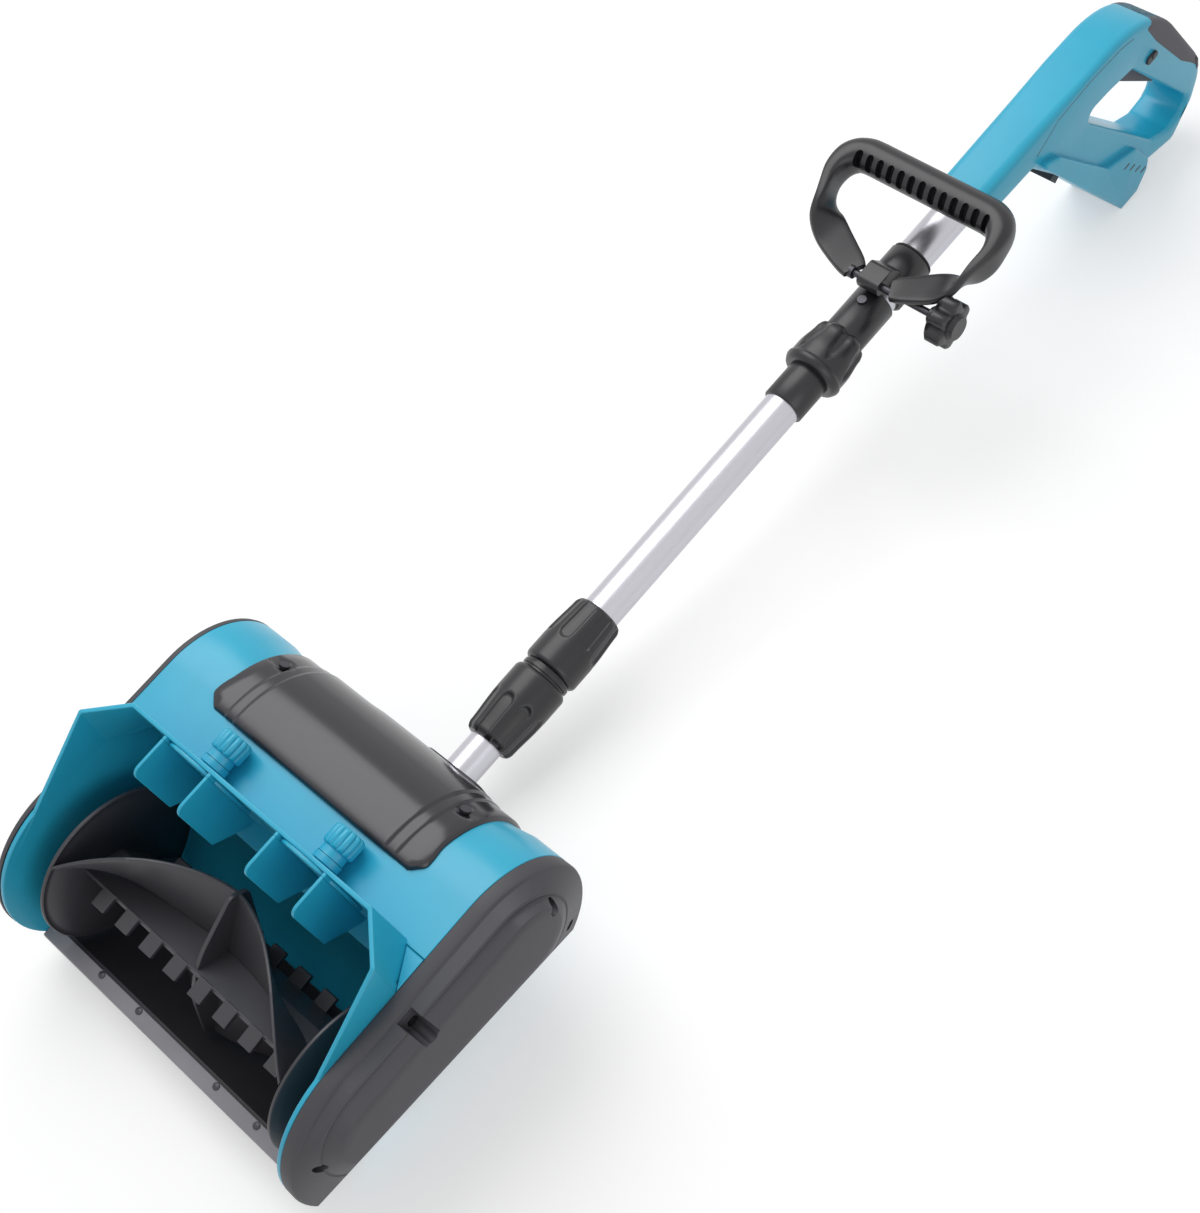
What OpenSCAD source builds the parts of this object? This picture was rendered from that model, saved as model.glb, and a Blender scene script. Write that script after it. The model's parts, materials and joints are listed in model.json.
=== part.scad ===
// Hand-held cordless snow thrower, lying on its back.
// Every piece is drawn in the tool frame and then laid down by resting().
// Tool frame: X to the belt side, Y to the back, Z up along the pole,
// with the pole on X = Y = 0 and the rotor axis a little below Z = 0.

/* [Head casing] */
// Half width of the teal casing, out to the faces that carry the side covers
head_half = 148; // [144:1:152]
// Thickness of each side plate
plate_t = 4; // [3:0.5:5]
// Distance of the rotor axis in front of the pole
rotor_front = 72; // [70:1:74]
// Depth of the rotor axis below the zero level of the pole
rotor_down = 10; // [8:1:12]
// Distance of the motor axis in front of the pole
motor_front = 80; // [78:1:82]
// Height of the motor axis above the zero level of the pole
motor_up = 116; // [114:1:118]
// Clearance between the rotor and its tunnel
tunnel_gap = 5; // [4:0.5:6.5]
// Wall of the tunnel in the middle of the casing
tunnel_wall = 6; // [5:0.5:7]
// Radius of the casing round the motor, at the fenders
high_r = 68; // [67:1:69]
// Step from the fenders down to the middle of the casing
fender_step = 3; // [2:0.5:4]
// Width of each fender
fender_w = 30; // [20:1:36]
// Wall of the casing
casing_wall = 3.5; // [2.5:0.5:4]
// Height where the teal tunnel gives way to the black tray
tray_top = 15; // [5:1:22]
// Distance of the slanted back face in front of the pole, at the belt-side plate
slant_front = 20; // [18:1:21]

/* [Hood] */
// Height of the hood sheet's underside above the top of the rotor
hood_rise = 22; // [20:1:24]
// Thickness of the hood sheet
hood_t = 3; // [2:0.5:4]
// Front edge of the hood, ahead of the pole
hood_front = 188; // [180:1:196]
// Half width of the hood's flat top at the front edge
hood_half = 117; // [110:1:122]
// Drop of the folded hood corner at the front edge
corner_drop = 25; // [18:1:30]

/* [Scraper] */
// Height of the scraper bar
scraper_h = 12; // [8:1:14]
// Thickness of the scraper bar
scraper_t = 4; // [3:0.5:5]
// Shank diameter of the scraper screws
scraper_screw_d = 4; // [3:0.5:5]

/* [Covers] */
// Thickness of the left side cover
left_cover_t = 5; // [4:0.5:7]
// How far the belt cover stands out from the casing
belt_cover_t = 32; // [30:1:36]
// Wall of the belt cover
cover_wall = 2.5; // [2:0.25:3]
// Half width of the motor cover
motor_cover_half = 104; // [98:1:107]
// Shank diameter of the cover screws
cover_screw_d = 4; // [3:0.5:4.5]

/* [Motor and belt] */
// Diameter of the motor can
motor_d = 54; // [50:1:58]
// Length of the motor can
motor_len = 92; // [80:1:110]
// Diameter of the motor shaft
motor_shaft_d = 8; // [6:0.5:8.5]
// Diameter of the rotor shaft
shaft_d = 12; // [10:0.5:13]
// Outer diameter of the rotor bearings
bearing_d = 28; // [26:1:32]
// Width of the rotor bearings
bearing_w = 8; // [7:1:9]
// Running radius of the motor pulley
small_pulley_r = 9; // [8:0.5:10]
// Running radius of the rotor pulley
big_pulley_r = 15; // [14:0.5:15.5]
// Belt width
belt_w = 8; // [6:0.5:8.5]
// Belt thickness
belt_t = 2; // [1.5:0.25:2.5]

/* [Rotor] */
// Radius of the rotor at its discs and blades
rotor_r = 63; // [61:0.5:64]
// Distance from each side plate to the inner face of the end disc
disc_gap = 26; // [24:1:30]
// Thickness of the end discs
disc_t = 3.5; // [2.5:0.5:4]
// Thickness of the blades
blade_t = 3; // [2:0.5:3.5]
// Thickness of the middle fin
fin_t = 3.5; // [2.5:0.5:4]
// Tooth width along the core
tooth_w = 13; // [9:1:15]
// Distance from one tooth to the next
tooth_pitch = 26; // [22:1:28]
// Tooth length
tooth_h = 14; // [10:1:16]

/* [Deflectors] */
// Distance of each deflector axis from the middle
deflector_x = 56; // [52:1:60]
// Distance of the deflector axes ahead of the pole
deflector_front = 158; // [154:1:160]
// Spacing of the two vanes of one deflector
vane_gap = 45; // [36:1:48]
// Thickness of a vane
vane_t = 2.5; // [2:0.25:3]
// Depth of the vanes below the hood sheet
vane_depth = 33; // [25:1:34]
// Diameter of the turntable under the hood
turntable_d = 66; // [58:1:68]
// Diameter of the turntable stem
stem_d = 15; // [12:0.5:18]
// Diameter of the deflector knob
deflector_knob_d = 24; // [22:1:27]

/* [Pole] */
// Outer diameter of the lower tube
lower_tube_d = 27; // [26:0.25:27.25]
// Outer diameter of the middle and upper tubes
tube_d = 30; // [29.75:0.25:31]
// Wall of the tubes
tube_wall = 1.3; // [1:0.1:1.35]
// Height of the head's pole socket
socket_top = 196; // [192:1:198]
// Length of the lower tube hidden in the middle tube
telescope_len = 245; // [200:5:255]
// Diameter of the lock nuts
lock_nut_d = 45; // [42:1:48]
// Diameter of the coupling nut
coupling_nut_d = 49.5; // [46:0.5:54]
// Diameter of the coupling sleeves
sleeve_d = 34.5; // [34:0.25:36]

/* [Front handle] */
// Half width of the D handle
d_half = 82; // [76:1:88]
// Thickness of the D handle's bar
bar_d = 28; // [24:1:30]
// Depth of the D handle's arms
arm_w = 28; // [22:1:32]
// Thickness of the D handle's arms
arm_t = 7; // [5:0.5:8]
// Outer diameter of the clamp ring
clamp_d = 37; // [36.5:0.5:38]
// Diameter of the clamp knob
clamp_knob_d = 46; // [42:1:46]
// Diameter of the clamp bolt
clamp_bolt_d = 6; // [5:0.5:6]

/* [Rear handle] */
// Half width of the rear handle shells
rear_half = 21; // [20:0.5:23]
// Half width of the battery foot
foot_half = 27; // [25:1:30]
// Wall of the rear handle shells
shell_wall = 3; // [2.5:0.5:3.5]
// Travel of the lock-off button
button_travel = 3; // [2:0.5:3.5]

/* [Hidden] */
$fn = 64;
coarse = 32;
fit = 0.05;       // running fit of shafts and pins
gap = 0.3;        // clearance between bodies that move past each other
teal = [0.14, 0.63, 0.75];
black = [0.13, 0.13, 0.15];
soft_black = [0.2, 0.2, 0.22];
silver = [0.85, 0.85, 0.87];
steel = [0.6, 0.61, 0.63];

// Axes and levels of the head
rotor_c = [-rotor_front, -rotor_down];
motor_c = [-motor_front, motor_up];
tunnel_r = rotor_r + tunnel_gap;
mid_r = high_r - fender_step;
mid_low_r = tunnel_r + tunnel_wall;
low_r = mid_low_r + fender_step;
plate_in = head_half - plate_t;
fender_in = head_half - fender_w;
disc_in = plate_in - disc_gap;
hood_z = rotor_c.y + rotor_r + hood_rise;
vane_low = hood_z - vane_depth;

// Levels along the pole
socket_z = 100;
lock_low = 225;
lock_gap_low = 287;
lock_gap_high = 294;
lock_high = 353;
sleeve_low = 568;
coupling_low = 600;
coupling_high = 643;
sleeve_high = 683;
clamp_low = 691;
clamp_h = 37;
body_z = 794;
tube_top = body_z + 62;
handle_screw_spots = [[-6, 884], [2, 1000], [167, 1040], [27, 912], [160, 990]];
skin_t = 2.6;
trigger_half = 7;
button_r = 5;
slot_half = 18;
slot_depth = 9;
bore_d = tube_d - 2 * tube_wall;

// Battery foot corner that rests on the ground
foot = [178, 962];
column_front = -18;
column_back = 17;
crown_z = 1095;
handle_outline = rounded([
  [column_front, body_z, 0], [column_front, 1021, 100], [122, crown_z, 40], [156, 1078, 18],
  [178, 1046, 12], [163, 1002, 5], [179, 985, 5], [foot.x, foot.y, 0], [52, 885, 10],
  [column_back, 858, 8], [column_back, body_z, 0]], 8);

// ---- Shapes -------------------------------------------------------------

// Points of one rounded corner at c, coming from p and leaving to n
function corner(p, c, n, r, k) =
  let (u = (p - c) / norm(p - c), v = (n - c) / norm(n - c), half = acos(u * v) / 2,
       m = c + (u + v) / norm(u + v) * r / sin(half),
       a = c + u * r / tan(half) - m, b = c + v * r / tan(half) - m,
       start = atan2(a.y, a.x), turn = atan2(b.y, b.x) - start,
       sweep = turn > 180 ? turn - 360 : turn < -180 ? turn + 360 : turn)
  [for (i = [0:k]) m + r * [cos(start + sweep * i / k), sin(start + sweep * i / k)]];

// Outline through points [y, z, corner radius]
function rounded(pts, k = 6) =
  let (n = len(pts), at = [for (p = pts) [p[0], p[1]]])
  [for (i = [0:n - 1]) each pts[i][2] == 0 ? [at[i]]
    : corner(at[(i + n - 1) % n], at[i], at[(i + 1) % n], pts[i][2], k)];

// Extrude a side view (Y, Z) from x0 to x1
module across(x0, x1) {
  translate([x0, 0, 0]) rotate([90, 0, 90]) linear_extrude(x1 - x0) children();
}

// Cylinder along X round a side-view point
module x_rod(c, r, x0, x1) {
  translate([x0, c.x, c.y]) rotate([0, 90, 0]) cylinder(r = r, h = x1 - x0);
}

// Outline round two circles and their common tangents
function arc(c, r, a0, a1, k) = [for (i = [0:k]) c + r * [cos(a0 + (a1 - a0) * i / k), sin(a0 + (a1 - a0) * i / k)]];
module joined(c1, r1, c2, r2) {
  u = c2 - c1;
  a = atan2(u.y, u.x);
  b = acos((r1 - r2) / norm(u));
  k = $fn / 2;
  polygon(concat(arc(c1, r1, a + b, a - b + 360, k), arc(c2, r2, a - b, a + b, k)));
}

// Side view of the casing, drawn in by a margin
module egg(inset = 0) {
  joined(motor_c, high_r - inset, rotor_c, low_r - inset);
}

// Tube along the pole
module pipe(outer, inner, z0, z1) {
  translate([0, 0, z0]) difference() {
    cylinder(d = outer, h = z1 - z0);
    translate([0, 0, -1]) cylinder(d = inner, h = z1 - z0 + 2);
  }
}

// Lay the tool down: the pole leans back from the rotor to the battery foot
rest = foot - rotor_c;
lean = atan2(rest.x, rest.y) - asin(low_r / norm(rest));
function along(p) = p.y * cos(lean) + p.x * sin(lean);
function above(p) = p.y * sin(lean) - p.x * cos(lean);
y_min = along(rotor_c) - low_r;
y_max = max([for (p = handle_outline) along(p)]);
floor_z = above(rotor_c) - low_r;
belt_side = head_half + belt_cover_t;
left_side = head_half + left_cover_t;

module resting() {
  translate([-(belt_side - left_side) / 2, -(y_min + y_max) / 2, -floor_z])
    rotate([lean - 90, 0, 0]) children();
}

// ---- Head casing --------------------------------------------------------

screw_spots = [[-116, 152], [-134, 43], [-112, -60], [-56, -66], [-48, 40], [-50, 156]];
screw_seats = [12, 12, 12, 5, 5, 5];
mouth_back = -79;
scraper_y = -40;
scraper_top = rotor_c.y - tunnel_r + 6;
scraper_screw_z = scraper_top - 3;
cover_from = 185;
cover_to = 28;

// Sector about the motor axis, used to end the motor cover
module sector(a0, a1, r) {
  n = 12;
  translate(motor_c)
    polygon([[0, 0], for (i = [0:n]) r * [cos(a0 + (a1 - a0) * i / n), sin(a0 + (a1 - a0) * i / n)]]);
}

// Part of the side view that is open: the mouth in front of and below the rotor
module mouth() {
  reach = 260;
  polygon([[scraper_y, -reach], [scraper_y, 0], [mouth_back, 0], [mouth_back, hood_z],
           [-reach, hood_z], [-reach, -reach]]);
}

// Space behind the slanted back face of the belt end, moved in by a margin
slant_turn = 23.4;
slant_lean = 6.1;
module behind_slant(inset = 0) {
  translate([head_half, -slant_front, rotor_c.y]) rotate([-slant_lean, 0, 0])
    rotate([0, 0, slant_turn]) translate([-inset, -200, -300]) cube([200, 400, 600]);
}

module casing_wall_view() {
  difference() {
    joined(motor_c, mid_r, rotor_c, mid_low_r);
    translate(rotor_c) circle(tunnel_r);
    difference() {
      joined(motor_c, mid_r - casing_wall, rotor_c, mid_low_r - casing_wall);
      translate(rotor_c) circle(tunnel_r + casing_wall);
      translate([mouth_back + casing_wall - 200, hood_z - 200]) square([200, 200 + hood_t]);
    }
    mouth();
  }
}

module side_plate_view() {
  egg();
  polygon([[-hood_front, hood_z - corner_drop + 2], [-hood_front, hood_z - corner_drop - 4],
           [-157, -4], [-126, -60], [-90, -60], [-90, hood_z - corner_drop],
           [-136, hood_z - corner_drop]]);
}

module rotor_casing() {
  color(teal) difference() {
    union() {
      across(-plate_in, plate_in) difference() {
        casing_wall_view();
        translate([-200, tray_top - 200]) square([300, 200]);
      }
      for (s = [-1, 1]) {
        a = s > 0 ? plate_in : -head_half;
        across(a, a + plate_t) side_plate_view();
        // Fender skin over the top and back, down to the tray
        f = s > 0 ? fender_in : -plate_in;
        across(f, f + fender_w - plate_t) difference() {
          egg();
          joined(motor_c, mid_r, rotor_c, mid_low_r);
          mouth();
          translate([-200, tray_top - 200]) square([300, 200]);
        }
        // Boss that holds the rotor bearing
        b = s > 0 ? plate_in - bearing_w - 2 : -plate_in;
        x_rod(rotor_c, bearing_d / 2 + 4, b, b + bearing_w + 2);
      }
      // Slanted wall that closes the tunnel at the belt end
      intersection() {
        across(fender_in, head_half) egg();
        behind_slant(plate_t);
      }
      // Cradle ribs under the motor
      for (x = [plate_in - motor_len + 8, plate_in - 30])
        across(x, x + 3) difference() {
          joined(motor_c, mid_r - casing_wall, rotor_c, mid_low_r - casing_wall);
          translate(rotor_c) circle(tunnel_r + casing_wall);
          translate([mouth_back + casing_wall - 200, -200]) square([200, 200 + hood_z + hood_t]);
          translate([-200, tray_top - 200]) square([300, 200]);
        }
    }
    behind_slant();
    // Opening under the motor cover
    across(-motor_cover_half + 18, motor_cover_half - 18) difference() {
      sector(cover_from - 12, cover_to + 12, 100);
      translate(motor_c) circle(motor_d / 2 + 4);
    }
    x_rod(motor_c, motor_d / 2, plate_in - motor_len, plate_in);
    x_rod(motor_c, motor_shaft_d / 2 + 1, plate_in - 1, head_half + 1);
    cylinder_up(lower_tube_d + 2 * gap, socket_z - gap, socket_top);
    for (s = [-1, 1]) {
      b = s > 0 ? plate_in - bearing_w : -plate_in;
      x_rod(rotor_c, bearing_d / 2, b, b + bearing_w);
      x_rod(rotor_c, shaft_d / 2 + 3, s * plate_in - 12, s * plate_in + 12);
      for (p = screw_spots) x_rod(p, cover_screw_d / 2, s * head_half - 6, s * head_half + 6);
      cover_screw_at(s) cylinder(d = cover_screw_d, h = 40, center = true);
    }
  }
}

// Places of the two screws that hold the motor cover
module cover_screw_at(s) {
  tilt = 134;
  translate([s * 90, motor_c.x, motor_c.y]) rotate([tilt - 90, 0, 0])
    translate([0, 0, high_r]) children();
}

module hood() {
  corner_z = hood_z - corner_drop;
  top = hood_z + hood_t / 2;
  back = -motor_front - mid_r + 1.5;
  color(teal) {
    difference() {
      union() {
        translate([0, 0, hood_z]) linear_extrude(hood_t)
          polygon([[-hood_half, -hood_front], [hood_half, -hood_front],
                   [hood_half + 14, back], [-hood_half - 14, back]]);
        for (s = [-1, 1])
          translate([s * deflector_x, -deflector_front, hood_z])
            cylinder(d = turntable_d - 4, h = hood_t + 1);
      }
      for (s = [-1, 1])
        translate([s * deflector_x, -deflector_front, hood_z - 1])
          cylinder(d = stem_d + 2 * gap, h = hood_t + 4);
      translate([-150, -hood_front - 20, hood_z - 5]) cube([300, 20, 20]);
      across(-head_half, head_half) egg(fender_step);
      for (s = [-1, 1])
        across(s > 0 ? fender_in : -head_half, s > 0 ? head_half : -fender_in) egg();
    }
    for (s = [-1, 1]) difference() {
      hull() {
        translate([s * (hood_half + 1), -hood_front + 1.5, top]) cube(hood_t, center = true);
        translate([s * (plate_in + 2), -hood_front + 1.5, corner_z + 1]) cube(hood_t, center = true);
        translate([s * (hood_half + 15), back - 1.5, top]) cube(hood_t, center = true);
        translate([s * (plate_in + 2), back - 1.5, corner_z + 1]) cube(hood_t, center = true);
      }
      across(-head_half - 1, head_half + 1) side_plate_view();
      linear_extrude(200) polygon([[-hood_half, -hood_front - 1], [hood_half, -hood_front - 1],
                                   [hood_half + 14, back], [hood_half + 14, 0],
                                   [-hood_half - 14, 0], [-hood_half - 14, back]]);
    }
  }
}

module lower_tray() {
  color(black) difference() {
    across(-plate_in, plate_in) intersection() {
      casing_wall_view();
      translate([-200, tray_top - 200]) square([300, 200]);
    }
    behind_slant(plate_t);
  }
}

// Bar below the front edge of the tray
scraper_spots = [-84, -42, 42, 84];
module scraper_bar() {
  color([0.45, 0.45, 0.48]) difference() {
    across(-plate_in, plate_in)
      polygon([[scraper_y - scraper_t, scraper_top], [scraper_y, scraper_top],
               [scraper_y, scraper_top - scraper_h], [scraper_y - scraper_t, scraper_top - scraper_h + 1]]);
    for (x = scraper_spots) translate([x, scraper_y - 10, scraper_screw_z])
      rotate([-90, 0, 0]) cylinder(d = scraper_screw_d, h = 20);
  }
}

module scraper_screws() {
  color(steel) for (x = scraper_spots)
    translate([x, scraper_y, scraper_screw_z]) rotate([90, 0, 0]) {
      cylinder(d = scraper_screw_d, h = scraper_t);
      translate([0, 0, scraper_t]) cylinder(d = 2 * scraper_screw_d, h = 1.6);
    }
}

module cover_view() {
  intersection() {
    difference() {
      egg();
      egg(fender_step);
    }
    sector(cover_from, cover_to, 120);
  }
}

module motor_cover() {
  color(black) difference() {
    across(-motor_cover_half, motor_cover_half) cover_view();
    for (s = [-1, 1]) cover_screw_at(s) {
      cylinder(d = cover_screw_d, h = 40, center = true);
      translate([0, 0, -1]) cylinder(d = 2 * cover_screw_d, h = 10);
    }
  }
}

module motor_cover_screws() {
  color(steel) for (s = [-1, 1]) cover_screw_at(s) {
    translate([0, 0, -1]) cylinder(d = 2 * cover_screw_d, h = 2);
    translate([0, 0, -6]) cylinder(d = cover_screw_d, h = 5);
  }
}

// Outline levels of the belt cover, each drawn in by a margin
module cover_level(x, t, c1, r1, c2, r2) {
  across(x, x + t) joined(c1, r1, c2, r2, $fn = coarse);
}
module cover_form(inset, x0) {
  hull() {
    cover_level(x0, 1, motor_c, high_r - inset, rotor_c, low_r - inset);
    cover_level(belt_side - 10 - inset, 0.5, [-98, 118], 46 - inset, [-100, -14], 48 - inset);
    cover_level(belt_side - 0.5 - inset, 0.5, [-108, 124], 28, [-108, -18], 28);
  }
}

module belt_cover() {
  color(black) difference() {
    cover_form(0, head_half);
    behind_slant();
    difference() {
      cover_form(cover_wall, head_half - 0.5);
      behind_slant(cover_wall);
      for (i = [0:5]) x_rod(screw_spots[i], cover_screw_d + 1, head_half, belt_side);
    }
    for (i = [0:5]) {
      x_rod(screw_spots[i], cover_screw_d / 2, head_half - 1, head_half + 40);
      x_rod(screw_spots[i], cover_screw_d, head_half + screw_seats[i], head_half + 40);
    }
  }
}

module left_side_cover() {
  color(black) difference() {
    across(-left_side, -head_half) egg();
    across(-head_half - 2, -head_half + 1) difference() {
      egg(3);
      for (p = screw_spots) translate(p) circle(cover_screw_d + 1);
    }
    for (p = screw_spots) {
      x_rod(p, cover_screw_d / 2, -left_side - 1, -head_half + 1);
      x_rod(p, cover_screw_d, -left_side - 1, -left_side + 2);
    }
  }
}

module side_cover_screws() {
  color(steel) for (i = [0:5]) {
    p = screw_spots[i];
    seat = head_half + screw_seats[i];
    x_rod(p, cover_screw_d / 2, plate_in + 1, seat);
    x_rod(p, cover_screw_d - 0.3, seat, seat + 2.5);
    x_rod(p, cover_screw_d / 2, -left_side + 2, -plate_in - 1);
    x_rod(p, cover_screw_d - 0.3, -left_side, -left_side + 2);
  }
}

module pole_socket() {
  half = 24;
  flange_h = 9;
  color(black) difference() {
    union() {
      across(-half, half) difference() {
        polygon(rounded([[-60, 150, 0], [-52, socket_top - flange_h, 4], [20, socket_top - flange_h, 3],
                         [24, socket_z + 30, 8], [20, socket_z - 30, 6], [-20, socket_z - 20, 0]]));
        egg(fender_step);
        cover_view();
      }
      translate([0, 3, socket_top - flange_h]) linear_extrude(flange_h)
        polygon(rounded([[-28, -19, 7], [28, -19, 7], [28, 19, 7], [-28, 19, 7]]));
    }
    translate([0, 0, socket_z]) cylinder(d = lower_tube_d, h = 120);
    x_rod([0, socket_z + 50], clamp_bolt_d / 2, -40, 40);
  }
}

module socket_bolt() {
  color(steel) {
    x_rod([0, socket_z + 50], clamp_bolt_d / 2, -24, 24);
    for (s = [-1, 1]) x_rod([0, socket_z + 50], clamp_bolt_d, s * 26 - 2, s * 26 + 2);
  }
}

// ---- Motor and belt -----------------------------------------------------

belt_x = head_half + 6.5;
pulley_half = belt_w / 2 + 1;

module motor_can() {
  color(steel) difference() {
    union() {
      x_rod(motor_c, motor_d / 2, plate_in - motor_len, plate_in);
      x_rod(motor_c, motor_d / 5, plate_in - motor_len - 8, plate_in - motor_len);
    }
    x_rod(motor_c, motor_shaft_d / 2 + fit, plate_in - motor_len + 6, plate_in + 1);
  }
}

module motor_shaft() {
  color(silver) x_rod(motor_c, motor_shaft_d / 2, plate_in - motor_len + 6.3, belt_x + pulley_half);
}

// Flat-belt pulley with a flange on each side
module pulley(c, r, bore) {
  difference() {
    union() {
      x_rod(c, r, belt_x - pulley_half, belt_x + pulley_half);
      for (s = [-1, 1]) {
        e = belt_x + s * (pulley_half - 0.5);
        x_rod(c, r + belt_t, e - 0.5, e + 0.5);
      }
    }
    x_rod(c, bore, belt_x - 10, belt_x + 10);
  }
}

module motor_pulley() {
  color(steel) pulley(motor_c, small_pulley_r, motor_shaft_d / 2);
}

module rotor_pulley() {
  color(black) pulley(rotor_c, big_pulley_r, shaft_d / 2);
}

module drive_belt() {
  color(soft_black) across(belt_x - belt_w / 2 + gap, belt_x + belt_w / 2 - gap) difference() {
    joined(motor_c, small_pulley_r + gap + belt_t, rotor_c, big_pulley_r + gap + belt_t);
    joined(motor_c, small_pulley_r + gap, rotor_c, big_pulley_r + gap);
  }
}

// ---- Rotor --------------------------------------------------------------

module bearing(x0) {
  color(steel) difference() {
    x_rod(rotor_c, bearing_d / 2, x0, x0 + bearing_w);
    x_rod(rotor_c, shaft_d / 2 + fit, x0 - 1, x0 + bearing_w + 1);
  }
}

module left_bearing() {
  bearing(-plate_in);
}

module right_bearing() {
  bearing(plate_in - bearing_w);
}

module rotor_shaft() {
  color(silver) x_rod(rotor_c, shaft_d / 2, -head_half + 1, belt_x + pulley_half);
}

// Flat bar that leans across the axis, with a row of teeth on each long edge
bar_reach = 30;
bar_view = [[-bar_reach + 5, -17], [-bar_reach + 9, -19], [10, -9], [bar_reach - 5, 17],
            [bar_reach - 9, 19], [-10, 9]];
module bar_form() {
  across(-disc_in, disc_in) polygon(bar_view);
  for (k = [0, 1]) rotate([180 * k, 0, 0])
    for (i = [0:7]) {
      x = (i - 3.5) * tooth_pitch;
      across(x - tooth_w / 2, x + tooth_w / 2)
        polygon([[-bar_reach + 5, -17], [-bar_reach + 9, -18.5], [-bar_reach + 10, -17 - tooth_h],
                 [-bar_reach + 6, -17 - tooth_h]]);
    }
}
module rotor_core() {
  color([0.3, 0.3, 0.32]) difference() {
    translate([0, rotor_c.x, rotor_c.y]) bar_form();
    x_rod(rotor_c, shaft_d / 2, -disc_in - 1, disc_in + 1);
    across(-fin_t / 2, fin_t / 2) translate(rotor_c) square(120, center = true);
  }
}

module end_disc(x0, hub0) {
  color([0.3, 0.3, 0.32]) difference() {
    union() {
      x_rod(rotor_c, rotor_r, x0, x0 + disc_t);
      x_rod(rotor_c, 16, hub0, hub0 + 6);
    }
    x_rod(rotor_c, shaft_d / 2, x0 - 20, x0 + 20);
  }
}

module left_end_disc() {
  end_disc(-disc_in - disc_t, -disc_in - disc_t - 6);
}

module right_end_disc() {
  end_disc(disc_in, disc_in + disc_t);
}

// Oval fin in the middle, long towards the two blade tips
tip_angle = 140;
module middle_fin() {
  color([0.3, 0.3, 0.32]) difference() {
    translate([-fin_t / 2, rotor_c.x, rotor_c.y]) rotate([tip_angle, 0, 0]) rotate([90, 0, 90])
      linear_extrude(fin_t) intersection() {
        circle(rotor_r);
        polygon(rounded([[rotor_r, -8, 7], [rotor_r, 8, 7], [0, 34, 80], [-rotor_r, 8, 7],
                         [-rotor_r, -8, 7], [0, -34, 80]]));
      }
    x_rod(rotor_c, shaft_d / 2, -5, 5);
  }
}

// Blade angle at a place x along the rotor: the tip leads in the middle
blade_turn = 68;
// Inner edge of the blades: it follows the bar's face, then the bar's long edge
blade_in = 13.6;
blade_in_end = bar_reach + 2.5;
blade_steps = 24;
function blade_part(x) = pow(abs(x) / disc_in, 1.6);
function blade_angle(x) = tip_angle + blade_turn * blade_part(x);
function blade_root(x) = blade_in + (blade_in_end - blade_in) * pow(blade_part(x), 2.8);
function blade_point(x, r, side) =
  let (a = blade_angle(x), h = side * blade_t / 2)
  [x, r * cos(a) - h * sin(a), r * sin(a) + h * cos(a)];
module blade_half(s) {
  span = disc_in - fin_t / 2;
  rings = [for (i = [0:blade_steps])
    let (x = s * (fin_t / 2 + span * i / blade_steps))
    [blade_point(x, blade_root(x), -1), blade_point(x, rotor_r, -1),
     blade_point(x, rotor_r, 1), blade_point(x, blade_root(x), 1)]];
  pts = [for (ring = rings) each ring];
  walls = [for (i = [0:blade_steps - 1]) for (k = [0:3])
    let (a = 4 * i + k, b = 4 * i + (k + 1) % 4)
    each (s > 0 ? [[a, b, b + 4], [a, b + 4, a + 4]] : [[b, a, b + 4], [b + 4, a, a + 4]])];
  last = 4 * blade_steps;
  ends = s > 0 ? [[3, 2, 1, 0], [last, last + 1, last + 2, last + 3]]
    : [[0, 1, 2, 3], [last + 3, last + 2, last + 1, last]];
  polyhedron(pts, concat(walls, ends));
}
module blade(turn) {
  color([0.3, 0.3, 0.32]) translate([0, rotor_c.x, rotor_c.y])
    rotate([turn, 0, 0]) for (s = [-1, 1]) blade_half(s);
}

module front_blade() {
  blade(0);
}

module rear_blade() {
  blade(180);
}

// ---- Deflectors ---------------------------------------------------------

knob_low = hood_z + 15;
knob_h = 16;
module deflector(s) {
  top = hood_z - gap;
  color(teal) translate([s * deflector_x, -deflector_front, 0]) difference() {
    union() {
      translate([0, 0, top - 3]) cylinder(d = turntable_d, h = 3);
      cylinder_up(stem_d, top - 1, knob_low);
      for (k = [-1, 1])
        across(k * vane_gap / 2 - vane_t / 2, k * vane_gap / 2 + vane_t / 2)
          polygon(rounded([[-32, top, 0], [-32, vane_low, 7], [26, vane_low, 0],
                           [44, vane_low + 23, 0], [47, top, 0]]));
    }
    cylinder_up(4, knob_low - 8, knob_low + 1);
  }
}

module cylinder_up(d, z0, z1) {
  translate([0, 0, z0]) cylinder(d = d, h = z1 - z0);
}

module left_deflector() {
  deflector(-1);
}

module right_deflector() {
  deflector(1);
}

module deflector_knob(s) {
  ribs = 12;
  color(teal) translate([s * deflector_x, -deflector_front, 0]) difference() {
    union() {
      cylinder_up(deflector_knob_d - 2, knob_low, knob_low + knob_h);
      for (i = [0:ribs - 1]) rotate([0, 0, 360 / ribs * i])
        translate([deflector_knob_d / 2 - 1.5, 0, knob_low + 1]) cylinder(r = 1.5, h = knob_h - 2, $fn = 16);
    }
    cylinder_up(4, knob_low - 1, knob_low + knob_h + 1);
    cylinder_up(9, knob_low + knob_h - 3, knob_low + knob_h + 1);
  }
}

module left_deflector_knob() {
  deflector_knob(-1);
}

module right_deflector_knob() {
  deflector_knob(1);
}

module deflector_screw(s) {
  color(steel) translate([s * deflector_x, -deflector_front, 0]) {
    cylinder_up(4, knob_low - 7, knob_low + knob_h - 3);
    cylinder_up(8, knob_low + knob_h - 3, knob_low + knob_h - 1);
  }
}

module deflector_screws_left() {
  deflector_screw(-1);
}

module deflector_screws_right() {
  deflector_screw(1);
}

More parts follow.
